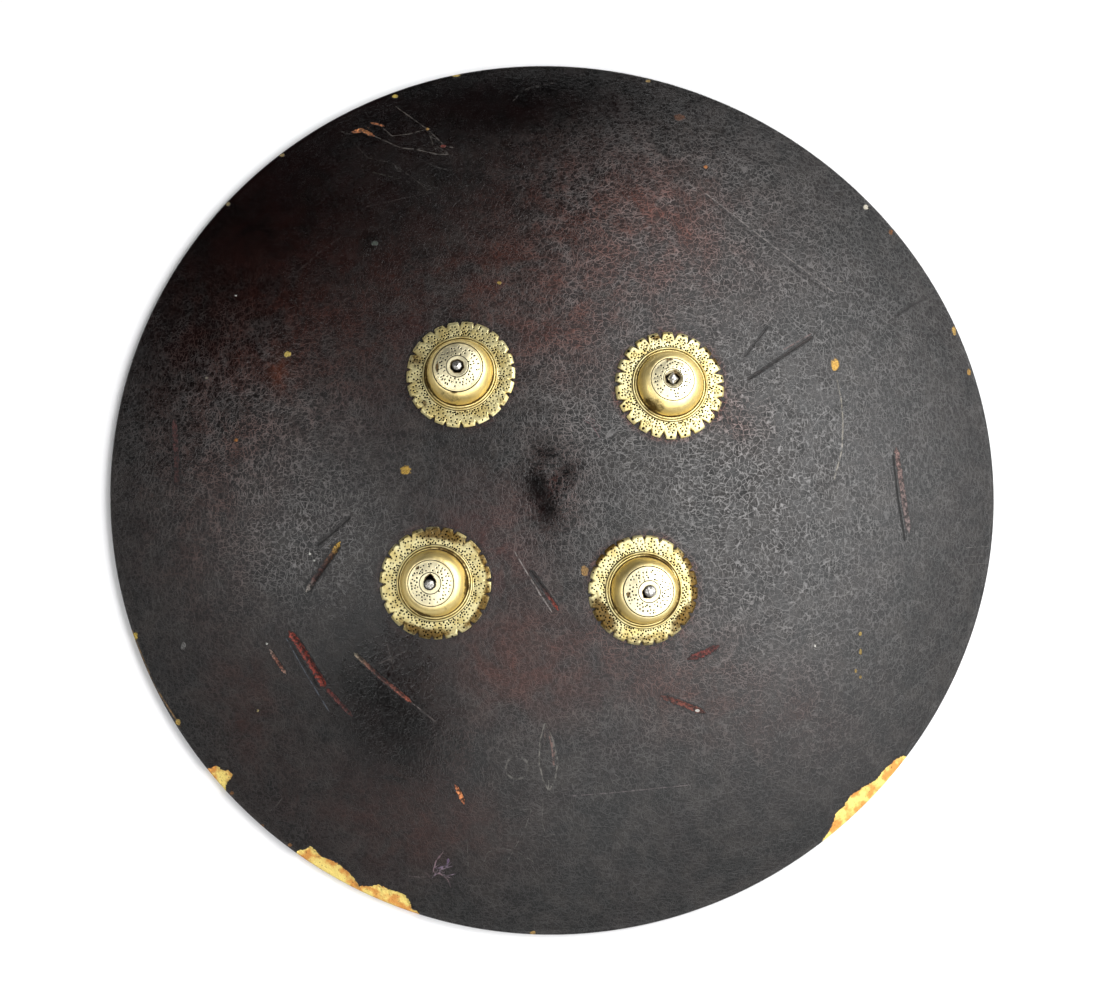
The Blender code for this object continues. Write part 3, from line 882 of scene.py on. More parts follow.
hideLook = {
    "black": "#020202",
    "brown": "#0a0404",
    "cloud": "#1d1a18",
    # pale ridges: worn lacquer, and a painted sheen on them
    "ridgeWearAndSheen": "#787675",
    "redRidgeWearAndSheen": "#764e45",
    "rawHide": "#e8cf74",
    "rawHideDeep": "#d09044",
    "rawHideSpeck": "#6a4a24",
    "lip": "#1c120c",       # of lacquer round a flake, with painted shade along its broken step
    "back": "#2c1f18",
    "backPale": "#3c2b20",
    "fineCell": 1.5,        # mm
    "broadCell": 3.3,
    "webHeight": 0.22,
    "fineHeight": 0.045,
    "tornHeight": 0.5,      # of the torn hide in gouges and spots
    "plainRelief": 0.4,     # how far the web stands up where it isn't rubbed pale
    "waxedRelief": 0.1,     # and where wax has filled it
    "bend": 1.2,            # how far the webs wander, in mm
    "wrinkle": (3.4, 0.75),     # length and width of the short wrinkles between the cells
    "wrinkleShare": 0.85,
    "upright": (100, 160),  # mm to the right of the middle, over which the wrinkles turn upright
    "satin": (0.29, 0.38),  # roughness
    "hollowRough": 0.30,    # added in the hollows
    "waxPolish": 0.18,      # taken off where wax lies thick
    "bareRough": 0.7,
    "ior": 1.45,
    "grains": {             # noise: width in mm, then detail, roughness and distortion
        "drift": (1.6, 3.0),            # bends the webs
        "torn": (2.4, 3.0, 0.6),        # breaks them
        "clump": (9.0, 4.0, 0.6),       # the web strong or worn
        "swirl": (30.0, 3.0),           # the wrinkles' direction
        "mottle": (26.0, 6.0, 0.62),    # black and brown
        "cloud": (13.0, 5.0, 0.6),
        "rust": (17.0, 6.0, 0.66, 0.5),
        "frayed": (1.3, 3.0),           # edges of scratches and gouges
        "skipping": (2.6, 4.0, 0.6),    # gaps in a scratch
        "beads": (1.7, 3.0, 0.6),       # torn hide
        "fibre": (0.9, 4.0, 0.7),
        "crumb": (1.6, 4.0),            # edges of flakes
        "streak": (7.0, 3.0),           # raw hide
        "speck": (1.4, 3.0, 0.7),
        "plain": (22.0, 6.0, 0.65),     # the back
        "sheen": (9.0, 5.0, 0.6),
        "fine": (0.9, 3.0, 0.6),
    },
    "painted": "grain gloss stain scratch scratchTint gouge gougeTint spot spotTint chip inside",
}


def lacqueredHide():
    made, add, shader, inMm, grain, painted = newMaterial(
        "lacquered rawhide, moulded and rubbed", hideLook["grains"], hideLook["painted"])
    gloss = painted["gloss"]["Fac"]

    # Craquelure: two webs on wandering coordinates, torn here and there
    bend = (hideLook["bend"],) * 3
    bent = add("VectorMath", timesPlus, [grain["drift"].outputs["Color"], bend, inMm])
    fineEdge, broadEdge = [
        add("TexVoronoi", {"feature": "DISTANCE_TO_EDGE"}, {"Vector": bent, "Scale": 1 / hideLook[cell]})
        for cell in ("fineCell", "broadCell")
    ]
    fineWeb = add("Math", times, [add("MapRange", eased, [fineEdge, 0.13, 0.02]),
                                  add("MapRange", eased, [grain["torn"], 0.40, 0.58])])
    faded = add("MapRange", {}, [painted["grain"]["Fac"], 0.2, 0.8, 0.85, 0.35])
    fineWeb = add("Math", times, [fineWeb, faded])
    broadWeb = add("Math", times, [add("MapRange", eased, [broadEdge, 0.09, 0.01]),
                                   add("MapRange", eased, [grain["torn"], 0.34, 0.48, 0.2, 1.0])])
    clumps = add("MapRange", eased, [grain["clump"], 0.35, 0.65, 0.6, 1.2])
    grained = add("Math", times, [painted["grain"]["Fac"], clumps])

    # Short wrinkles, lying across but upright in patches and along the right side
    long, short = hideLook["wrinkle"]
    wrinkles = []
    for scale in ((long, short, 1), (short, long, 1)):
        along = add("Mapping", {"vector_type": "TEXTURE"}, {"Vector": bent, "Scale": scale})
        wave = add("TexNoise", {}, {"Vector": along, "Scale": 1.0, "Detail": 2.5})
        wrinkles.append(add("MapRange", eased, [wave, 0.54, 0.64]))
    across = add("SeparateXYZ", {}, [inMm]).outputs[0]
    toRight = add("MapRange", eased, [across, *hideLook["upright"]])
    upright = add("Math", larger, [toRight, add("MapRange", eased, [grain["swirl"], 0.49, 0.55])])
    wrinkle = add("Math", times, [add("Mix", {}, [upright, *wrinkles]), hideLook["wrinkleShare"]])
    web = add("Math", larger, [add("Math", larger, [fineWeb, broadWeb]), wrinkle])
    felt = add("MapRange", {}, [gloss, 0.0, 1.0, hideLook["plainRelief"], hideLook["waxedRelief"]])
    felt = add("Math", larger, [grained, felt])
    raised = add("Math", times, [web, felt])
    web = add("Math", times, [web, grained])
    hollow = add("Math", {"operation": "SUBTRACT"}, [felt, raised])

    # Lacquer: black and brown, mottled, with the soft stains over it and the painted contact shadow round
    # the bosses
    mottle = add("MapRange", eased, [grain["mottle"], 0.38, 0.66])
    color = add("Mix", colors, [mottle, hideLook["black"], hideLook["brown"]])
    cloud = add("Math", times, [add("MapRange", eased, [grain["cloud"], 0.42, 0.68]),
                                add("MapRange", {}, [gloss, 0.0, 0.6, 1.0, 0.0])])
    color = add("Mix", colors, [cloud, color, hideLook["cloud"]])
    rust = add("MapRange", eased, [grain["rust"], 0.34, 0.66, 0.25, 1.0])
    stained = add("Math", times, [painted["stain"]["Alpha"], rust])
    color = add("Mix", colors, [stained, color, painted["stain"]["Color"]])
    # Pale ridges of the web, strongest where the grain is: worn lacquer and a painted sheen on them
    reddened = add("Math", times, [stained, 1.3])
    ridgeWearAndSheen = add("Mix", colors, [reddened, hideLook["ridgeWearAndSheen"], hideLook["redRidgeWearAndSheen"]])
    color = add("Mix", colors, [add("Math", times, [web, 0.95]), color, ridgeWearAndSheen])

    # Scratches, with frayed edges and gaps
    frayed = add("Math", timesPlus, [grain["frayed"], 1.3, -0.65])
    line = add("SeparateXYZ", {}, [painted["scratch"]["Vector"]]).outputs
    off = add("Math", plus, [add("Math", unsigned, [line[0]]), frayed])
    cover = add("Math", times, [add("MapRange", eased, [off, 1.0, 0.3]),
                                add("MapRange", eased, [line[2], 0.2, 0.6])])
    skips = add("MapRange", eased, [grain["skipping"], 0.40, 0.60, 0.12, 1.0])
    cover = add("Math", times, [cover, skips])
    cover = add("Math", times, [cover, painted["scratchTint"]["Alpha"]])
    color = add("Mix", colors, [cover, color, painted["scratchTint"]["Color"]])

    # Gouges: torn hide between dark shores
    tint = painted["gougeTint"]
    line = add("SeparateXYZ", {}, [painted["gouge"]["Vector"]]).outputs
    off = add("Math", plus, [add("Math", unsigned, [line[0]]), frayed])
    gougeCover = add("Math", times, [add("MapRange", eased, [off, 1.0, 0.65]),
                                     add("MapRange", eased, [line[2], 0.2, 0.6])])
    gougeCover = add("Math", times, [gougeCover, tint["Alpha"]])
    beads = add("MapRange", eased, [grain["beads"], 0.38, 0.64, 0.22, 1.9])
    tornHide = add("VectorMath", scaled, [tint["Color"], beads])
    fibres = add("MapRange", eased, [grain["fibre"], 0.3, 0.7, 0.6, 1.3])
    tornHide = add("VectorMath", scaled, [tornHide, fibres])
    shore = add("Math", times, [add("MapRange", eased, [off, 1.9, 1.1, 0.0, 0.8]), line[2]])
    color = add("Mix", colors, [add("Math", times, [shore, tint["Alpha"]]), color, hideLook["black"]])
    color = add("Mix", colors, [gougeCover, color, tornHide])

    # Bare spots
    ragged = add("Math", timesPlus, [grain["beads"], 1.1, -0.55])
    spot = add("Math", plus, [painted["spot"]["Fac"], ragged])
    spotCover = add("MapRange", eased, [spot, 1.0, 0.65])
    fibres = add("MapRange", eased, [grain["fibre"], 0.3, 0.7, 0.5, 1.4])
    worn = add("VectorMath", scaled, [painted["spotTint"]["Color"], fibres])
    color = add("Mix", colors, [spotCover, color, worn])

    # Raw hide where the rim has flaked, with a dark lip round it: the lacquer's edge, and painted shade
    # along the step
    crumbs = add("Math", timesPlus, [grain["crumb"], 2.0, -1.0])
    chip = add("Math", plus, [painted["chip"]["Fac"], crumbs])
    chipCover = add("MapRange", eased, [chip, 0.15, 0.45])
    streaks = add("MapRange", eased, [grain["streak"], 0.45, 0.62])
    raw = add("Mix", colors, [streaks, hideLook["rawHide"], hideLook["rawHideDeep"]])
    specks = add("MapRange", eased, [grain["speck"], 0.60, 0.70])
    raw = add("Mix", colors, [specks, raw, hideLook["rawHideSpeck"]])
    fromEdge = add("Math", unsigned, [add("Math", plus, [chip, -0.15])])
    lip = add("MapRange", eased, [fromEdge, 0.8, 0.1, 0.0, 0.75])
    color = add("Mix", colors, [lip, color, hideLook["lip"]])
    color = add("Mix", colors, [chipCover, color, raw])

    # The plain back, never lacquered
    inside = painted["inside"]["Fac"]
    pale = add("MapRange", eased, [grain["plain"], 0.35, 0.65])
    plain = add("Mix", colors, [pale, hideLook["back"], hideLook["backPale"]])
    color = add("Mix", colors, [inside, color, plain])

    # Sheen and relief
    bare = add("Math", larger, [add("Math", larger, [gougeCover, chipCover]),
                                add("Math", larger, [spotCover, inside])])
    satin = add("MapRange", eased, [grain["sheen"], 0.3, 0.7, *hideLook["satin"]])
    polish = add("Math", timesPlus, [hollow, hideLook["hollowRough"], satin])
    polish = add("Math", timesPlus, [gloss, -hideLook["waxPolish"], polish])
    rough = add("Mix", {}, [bare, polish, hideLook["bareRough"]])
    relief = add("Math", times, [grain["fine"], hideLook["fineHeight"]])
    relief = add("Math", timesPlus, [raised, hideLook["webHeight"], relief])
    torn = add("Math", times, [grain["beads"], bare])
    relief = add("Math", timesPlus, [torn, hideLook["tornHeight"], relief])
    bump = add("Bump", {}, {"Strength": 1.0, "Distance": mm, "Height": relief})
    feed(made, shader, {"Base Color": color, "Roughness": rough, "Normal": bump})
    shader.inputs["IOR"].default_value = hideLook["ior"]
    return made


coat(hide, lacqueredHide())
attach(hide, "root")
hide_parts("hide_bowl")
print("hide finished")


# The frame of the hide's face where a boss sits
def seatOf(name):
    x, y = np.array(seats[name]) - middle
    step = 1e-5
    slopeX = (faceHeight(x + step, y) - faceHeight(x - step, y)) / (2 * step)
    slopeY = (faceHeight(x, y + step) - faceHeight(x, y - step)) / (2 * step)
    normal = Vector((-slopeX, -slopeY, 1)).normalized()
    turn = np.array(normal.to_track_quat("Z", "Y").to_matrix())
    return {"point": np.array((x, y, faceHeight(x, y))), "turn": turn, "normal": np.array(normal)}


# Height of the hide's face over the seat's tangent plane, for points round its axis
def drape(seat, radius, angle):
    across = np.stack([radius * np.cos(angle), radius * np.sin(angle), 0 * angle], axis=-1)
    across = across @ seat["turn"].T
    rise = np.zeros(len(radius))
    for _ in range(6):
        points = seat["point"] + across + rise[:, None] * seat["normal"]
        rise -= (points[:, 2] - faceHeight(points[:, 0], points[:, 1])) / seat["normal"][2]
    return rise


# Puts points given in mm round a seat's axis into their place on the shield
def placeOnSeat(seat, radius, angle, height):
    local = np.stack([radius * np.cos(angle), radius * np.sin(angle), height], axis=-1) * mm
    return seat["point"] + local @ seat["turn"].T


# A direction round the seat's axis for one in plan, in degrees counter-clockwise from the right
def fromPlan(seat, degrees):
    return np.radians(degrees) - math.atan2(seat["turn"][1][0], seat["turn"][0][0])


def gapBetween(first, second):
    return np.abs((first - second + math.pi) % fullTurn - math.pi)


# A closed line of (radius, height), drawn point by point and turned round the Z axis
def turned(name, section, steps):
    deselectAll()
    weld = 0.002 * mm
    bpy.ops.mesh.primitive_plane_add(size=1)
    made = bpy.context.object
    made.name = name
    with editing("VERT", "all"):
        bpy.ops.mesh.merge(type="CENTER")
        bpy.ops.transform.translate(value=(section[0][0] * mm, 0, section[0][1] * mm))
        for (fromRadius, fromHeight), (toRadius, toHeight) in zip(section, section[1:]):
            step = ((toRadius - fromRadius) * mm, 0, (toHeight - fromHeight) * mm)
            bpy.ops.mesh.extrude_region_move(TRANSFORM_OT_translate={"value": step})
    bpy.ops.object.modifier_add(type="SCREW")
    turn = made.modifiers[-1]
    turn.steps = turn.render_steps = steps
    turn.use_merge_vertices = True
    turn.merge_threshold = weld
    bpy.ops.object.modifier_apply(modifier=turn.name)
    with editing(chosen="all"):
        bpy.ops.mesh.remove_doubles(threshold=weld)
        bpy.ops.mesh.normals_make_consistent(inside=False)
    return made


# A turned piece's points in mm: across, up, and their radius, angle and height round the axis
def roundAxis(thing):
    x, y, height = (readPoints(thing) / mm).T
    return x, y, np.hypot(x, y), np.arctan2(y, x), height


# Brass bosses: hollow domes with a filed and punched flange. Lengths in mm.

boss = {
    "steps": 616,           # round the axis, 28 to a tooth
    "teeth": 22,
    "brass": 1.2,
    "foot": 20.4,           # radius where the moulding round the dome starts
    "dome": 17.7,           # radius of the dome's foot
    "domeFloor": 1.4,
    "domeHeight": 8.95,
    "discRise": 1.9,
    "hole": 2.5,
    "beads": ((19.75, 0.62, 0.85), (18.38, 0.58, 0.75)),    # of the moulding: radius, half width, height
    "beadPitch": 0.8,       # of the fine beading on the inner bead
    "groove": 0.4,          # half width of an engraved circle
    "engraved": 0.12,       # its depth
    "milled": 0.14,         # depth of the fine beading
    "punchDepth": 0.16,
    "wear": (0.15, 0.55),   # how far the teeth's edges are worn down, and how far in
    "curl": (0.7, 1.8),     # how far the flange's edge is beaten down, and how far in
    "droop": (0.24, 3),     # how much lower a drooping stretch hangs, and where past the foot it starts
    "torn": (0.12, 7),      # how far the rivet's hole is ragged, and how often round it
    "hammered": ((0.12, 6), (0.03, 2.2)),       # depth and width of the dents
    "hammeredFrom": (3, 8),     # radii over which they begin
    "bead": (0.15, 0.5),    # half widths of the fine beading's top and foot
    "moulding": 3,          # height under which the moulding lies
    "flangeStep": 0.28,
    "discStep": 0.3,
    "shoulderSteps": 26,
}

filing = {      # how uneven a hand makes the flange's edge, in mm or shares
    "sway": (0.14, 5),      # the edge goes in and out, so many times round
    "miss": 1.0,            # degrees
    "deep": (0.75, 1.2),
    "wide": (0.85, 1.2),
    "corner": (0.08, 0.5),  # how far the teeth's corners are rounded off
    "least": 3.5,           # what every notch leaves of the flange
}

soiling = {     # how brown or dark the brass is, from 0 to 1, with lengths in mm; the notches' darkness is dirt and painted shade
    "hollows": ((20.42, 0.34), (19.05, 0.3), (17.75, 0.42)),    # beside the beads: radius, half width
    "inHollows": 0.95,
    "teeth": 0.45,          # along the flange's worn edge
    "notch": (0.25, 0.8),   # how deep a cut begins to be dark and is quite dark: dirt and painted shade in the notches
    "hole": (0.9, 0.1, 0.9),        # round the rivet: how brown, and where that begins and ends to fade
    "patch": (0.3, 1.45),   # where a patch of patina begins and ends to fade, in its half widths
    "below": 0.5,           # on the underside
    "disc": (-1, 3),        # from the disc's edge outwards, where hands have rubbed less and less highlight is painted
    "foot": (-3.2, -1.0),   # from the moulding's foot, where hands no longer reach and no highlight is painted
    "rubbedSide": 0.5,
}

punches = {     # the dots and rings, in mm: radii count out from the moulding's foot
    "gap": 1.05,            # between the middles of two
    "pitch": 1.35,          # along the rows beside the moulding
    "row": (0.75, 0.35, 0.43),          # radius, every other dot's step outwards, size
    "outerRow": (2.0, 0.5, 0.42),
    "flower": (4.2, 1.75, 20),          # on each tooth: radius of its middle, its own, degrees
    "petals": (6, 0.40),                # how many and their size
    "ring": 0.85,
    "tip": (1.5, 0.42, 0.58),           # in from the tooth's tip, size and size of the large ones
    "extra": (2.6, 0.05, 0.38),         # in from the tip, radians beside it, size
    "underNotch": ((1.3, 3.0), 0.36),
    "disc": (1.3, 0.9, 1.6, 2.0, 0.39),     # from the inner and outer circle, row, pitch, size
    "kept": (0.8, 0.6, 0.85),           # shares of the outer row, the extras and the disc's dots
    "uneven": (0.85, 1.15),             # sizes
}

bossLooks = {   # directions in degrees counter-clockwise from the right, lengths in mm
    "top_left": {
        "seed": 11, "flange": 8.7, "shoulder": 5.6, "notch": (2.4, 2.3), "firstNotch": 9.3,
        "circles": (13.3, 5.9), "lean": (-0.4, 1.5), "rings": 0.2, "droop": (),
        "hole": ((0, 3.4), (120, 3.5), (240, 3.5)), "dish": 0.5,
        "patina": ((161, 25.0, 13, 4.5, 0.7), (181, 10.9, 15, 1.0, 1.4), (256, 16.0, 26, 1.8, 0.5),
                   (262, 13.6, 9, 0.8, 0.9), (222, 24.5, 10, 2.5, 0.6), (120, 26.5, 12, 2.0, 0.35),
                   (320, 28.2, 30, 1.2, 0.5), (188, 18.0, 45, 1.3, 0.9), (70, 26.0, 10, 2.5, 0.3)),
    },
    "top_right": {
        "seed": 23, "flange": 9.0, "shoulder": 7.0, "notch": (3.7, 2.8), "firstNotch": 1.8,
        "circles": (11.5, 5.2), "lean": (0.0, 0.9), "rings": 0.5, "droop": ((38, 22),),
        "hole": ((20, 4.0), (100, 2.8), (170, 3.9), (250, 2.8), (310, 2.9)), "dish": 1.6,
        "patina": ((106, 26.5, 9, 1.8, 0.8), (36, 28.4, 17, 1.6, 1.0), (99, 10.7, 13, 0.9, 0.9),
                   (232, 17.0, 22, 2.6, 0.8), (243, 15.0, 20, 3.0, 0.5), (200, 26.0, 12, 3.0, 0.25),
                   (145, 18.2, 40, 1.0, 0.6), (80, 28.0, 22, 1.2, 0.5), (225, 28.0, 18, 1.5, 0.4),
                   (60, 4.2, 95, 0.9, 0.8)),
    },
    "bottom_left": {
        "seed": 37, "flange": 9.4, "shoulder": 6.3, "notch": (2.5, 2.4), "firstNotch": 2.5,
        "circles": (12.2, 5.7), "lean": (-0.9, 0.3), "rings": 0.3,
        "droop": ((350, 40), (85, 30), (265, 25)),
        "hole": ((60, 3.6), (90, 4.9), (118, 3.7), (180, 2.9), (270, 2.9), (0, 2.9)), "dish": 0.5,
        "patina": ((80, 26.4, 34, 4.2, 0.95), (260, 26.8, 40, 3.6, 0.9), (332, 28.0, 40, 2.6, 0.9),
                   (131, 10.6, 9, 1.0, 1.0), (247, 17.4, 28, 1.2, 1.0), (356, 17.8, 26, 1.1, 0.9),
                   (60, 18.6, 55, 1.2, 0.7), (25, 28.6, 34, 1.8, 0.8), (300, 14.8, 16, 1.5, 0.35)),
    },
    "bottom_right": {
        "seed": 41, "flange": 8.7, "shoulder": 5.2, "notch": (2.2, 2.1), "firstNotch": 6.0,
        "circles": (13.3, 5.8), "lean": (1.9, -0.4), "rings": 0.2, "droop": ((0, 60), (212, 26)),
        "hole": ((40, 2.8), (140, 2.9), (225, 4.0), (290, 2.9)), "dish": 0.5,
        "patina": ((212, 25.5, 30, 5.0, 1.0), (5, 27.9, 58, 3.2, 1.0), (325, 25.5, 26, 4.0, 0.9),
                   (188, 10.9, 9, 1.2, 1.0), (65, 18.0, 40, 1.2, 0.9), (340, 18.2, 50, 1.3, 0.9),
                   (215, 18.0, 25, 1.2, 0.6), (120, 27.8, 30, 1.4, 0.5), (60, 14.5, 25, 1.2, 0.4),
                   (275, 26.5, 40, 4.0, 0.6), (135, 28.5, 34, 1.5, 0.9)),
    },
}


# The section of a boss, from the flange's lower edge over the dome to the hole and back below
def bossSection(look):
    brass, foot = boss["brass"], boss["foot"]
    edge = foot + look["flange"]

    # The flange's rounded edge and its face
    section = [(edge, 0.12), (edge, 0.6), (edge, brass - 0.25), (edge - 0.1, brass - 0.06)]
    count = round(look["flange"] / boss["flangeStep"])
    section += [(edge - 0.24 - i * (look["flange"] - 0.34) / count, brass) for i in range(count)]

    # The moulding and the dome's round side
    for middleRadius, half, high in boss["beads"]:
        section += [(middleRadius + half * math.cos(t), boss["domeFloor"] + high * math.sin(t) - 0.15)
                    for t in np.linspace(0, math.pi, 9)]
    disc = boss["dome"] - look["shoulder"]
    top = boss["domeFloor"] + boss["domeHeight"]
    turns = np.linspace(0, math.pi / 2, boss["shoulderSteps"] + 1)
    floor, climb = boss["domeFloor"], boss["domeHeight"]
    section += [(disc + look["shoulder"] * math.cos(t), floor + climb * math.sin(t)) for t in turns]

    # The disc on top, its points closer together where a circle is engraved
    radii = set(np.arange(boss["hole"], disc - 0.2, boss["discStep"]).round(3))
    across = (-1.3, -0.8, -0.35, 0, 0.35, 0.8, 1.3)     # points across an engraved circle
    for circle in look["circles"]:
        radii -= {r for r in radii if abs(r - circle) < boss["groove"] * 1.6}
        inGroove = [circle + share * boss["groove"] for share in across]
        radii |= {round(r, 3) for r in inGroove if r < disc - 0.05}
    for radius in sorted(radii, reverse=True):
        rise = boss["discRise"] * (1 - ((radius - boss["hole"]) / (disc - boss["hole"])) ** 1.4)
        section.append((radius, top + rise))

    # Back below, the thickness of the brass inside
    under = disc - brass / 2
    section += [(boss["hole"], top + boss["discRise"] - brass), (under, top - brass)]
    section += [(under + (boss["dome"] - brass - under) * math.cos(t), (top - brass) * math.sin(t))
                for t in np.linspace(math.pi / 2, 0, 7)[1:]]
    section += [(foot, 0), (foot + look["flange"] / 2, 0), (edge - 0.2, 0), (edge, 0.12)]
    return section


# Radius of the flange's filed edge, with its notches as uneven as a hand makes them
def filedEdge(look, seat, angle):
    draw = np.random.default_rng(look["seed"])
    edge = np.full(len(angle), boss["foot"] + look["flange"])
    sway, swings = filing["sway"]
    edge -= sway * (1 + np.sin(angle * swings + look["seed"])) * 0.5
    depth, width = look["notch"]
    notches = []
    for tooth in range(boss["teeth"]):
        missed = draw.normal(0, filing["miss"])
        direction = fromPlan(seat, look["firstNotch"] + tooth * 360 / boss["teeth"] + missed)
        deep = depth * draw.uniform(*filing["deep"])
        half = width * draw.uniform(*filing["wide"]) / 2 / edge.max()
        away = gapBetween(angle, direction) / half
        rounded, reach = filing["corner"]
        worn = rounded * np.clip(1 - (away - 1) / reach, 0, 1) ** 2 * (away >= 1)
        edge -= deep * np.clip(1 - away, 0, 1) + worn
        notches.append(direction)
    return np.maximum(edge, boss["foot"] + filing["least"]), notches


# Every punched dot: direction, radius from the axis, size, and 1 for a ring or 0 for a dot
def punchedDots(look, notches):
    draw = np.random.default_rng(look["seed"] + 1)
    foot = boss["foot"]
    tip = foot + look["flange"]
    outerKept, extraKept, discKept = punches["kept"]
    dots = []

    def punchAt(direction, radius, size, ring=0, loose=0.16):
        away = draw.normal(0, loose, 2)
        direction, radius = direction + away[0] / radius, radius + away[1]
        size = size * draw.uniform(*punches["uneven"])
        for other, out, _, _ in dots:
            if math.hypot(radius - out, radius * gapBetween(direction, other)) < punches["gap"]:
                return
        dots.append((direction, radius, size, ring))

    # Two rows beside the moulding
    rowCount = round(fullTurn * (foot + 1) / punches["pitch"])
    for i in range(rowCount):
        out, step, size = punches["row"]
        punchAt(fullTurn * i / rowCount, foot + out + step * (i % 2), size)
        if draw.random() < outerKept:
            out, step, size = punches["outerRow"]
            punchAt(fullTurn * (i + 0.5) / rowCount, foot + out + step * (i % 2), size, 0, 0.3)

    # A flower on each tooth, a dot at its tip and two below each notch
    directions = sorted(d % fullTurn for d in notches)
    for first, last in zip(directions, directions[1:] + [directions[0] + fullTurn]):
        tooth = (first + last) / 2
        out, around, start = punches["flower"]
        petals, size = punches["petals"]
        punchAt(tooth, foot + out, punches["ring"], 1, 0.25)
        for petal in range(petals):
            spoke = math.radians(360 / petals * petal + start)
            punchAt(tooth + around * math.sin(spoke) / (foot + 4),
                    foot + out + around * math.cos(spoke), size)
        inward, small, large = punches["tip"]
        punchAt(tooth, tip - inward, large if look["rings"] > 0.4 else small, 0, 0.3)
        if draw.random() < extraKept:
            inward, beside, size = punches["extra"]
            punchAt(tooth + beside, tip - inward, size, 0, 0.5)
        inwards, size = punches["underNotch"]
        for inward in inwards:
            punchAt(first, tip - look["notch"][0] - inward, size, 0, 0.7)

    # Rings of dots on the disc, between its two circles
    outer, inner = look["circles"]
    fromInner, fromOuter, row, pitch, size = punches["disc"]
    radius = inner + fromInner
    while radius < outer - fromOuter:
        count = round(fullTurn * radius / pitch)
        for i in range(count):
            if draw.random() < discKept:
                punchAt(fullTurn * (i + 0.5 * (round(radius) % 2)) / count, radius, size, 0, 0.35)
        radius += row
    return np.array(dots)


# How deep each point lies in a punch mark, from 0 to 1
def punchDepths(radius, angle, dots, ringShare):
    x, y = radius * np.cos(angle), radius * np.sin(angle)
    deep = np.zeros(len(radius))
    for direction, out, size, ring in dots:
        distance = np.hypot(x - out * math.cos(direction), y - out * math.sin(direction))
        if ring:
            mark = ringShare * (1 - smooth(np.abs(distance - size), 0.12, 0.42))
        else:
            mark = 1 - smooth(distance, size * 0.7, size * 1.5)
        deep = np.maximum(deep, mark)
    return deep


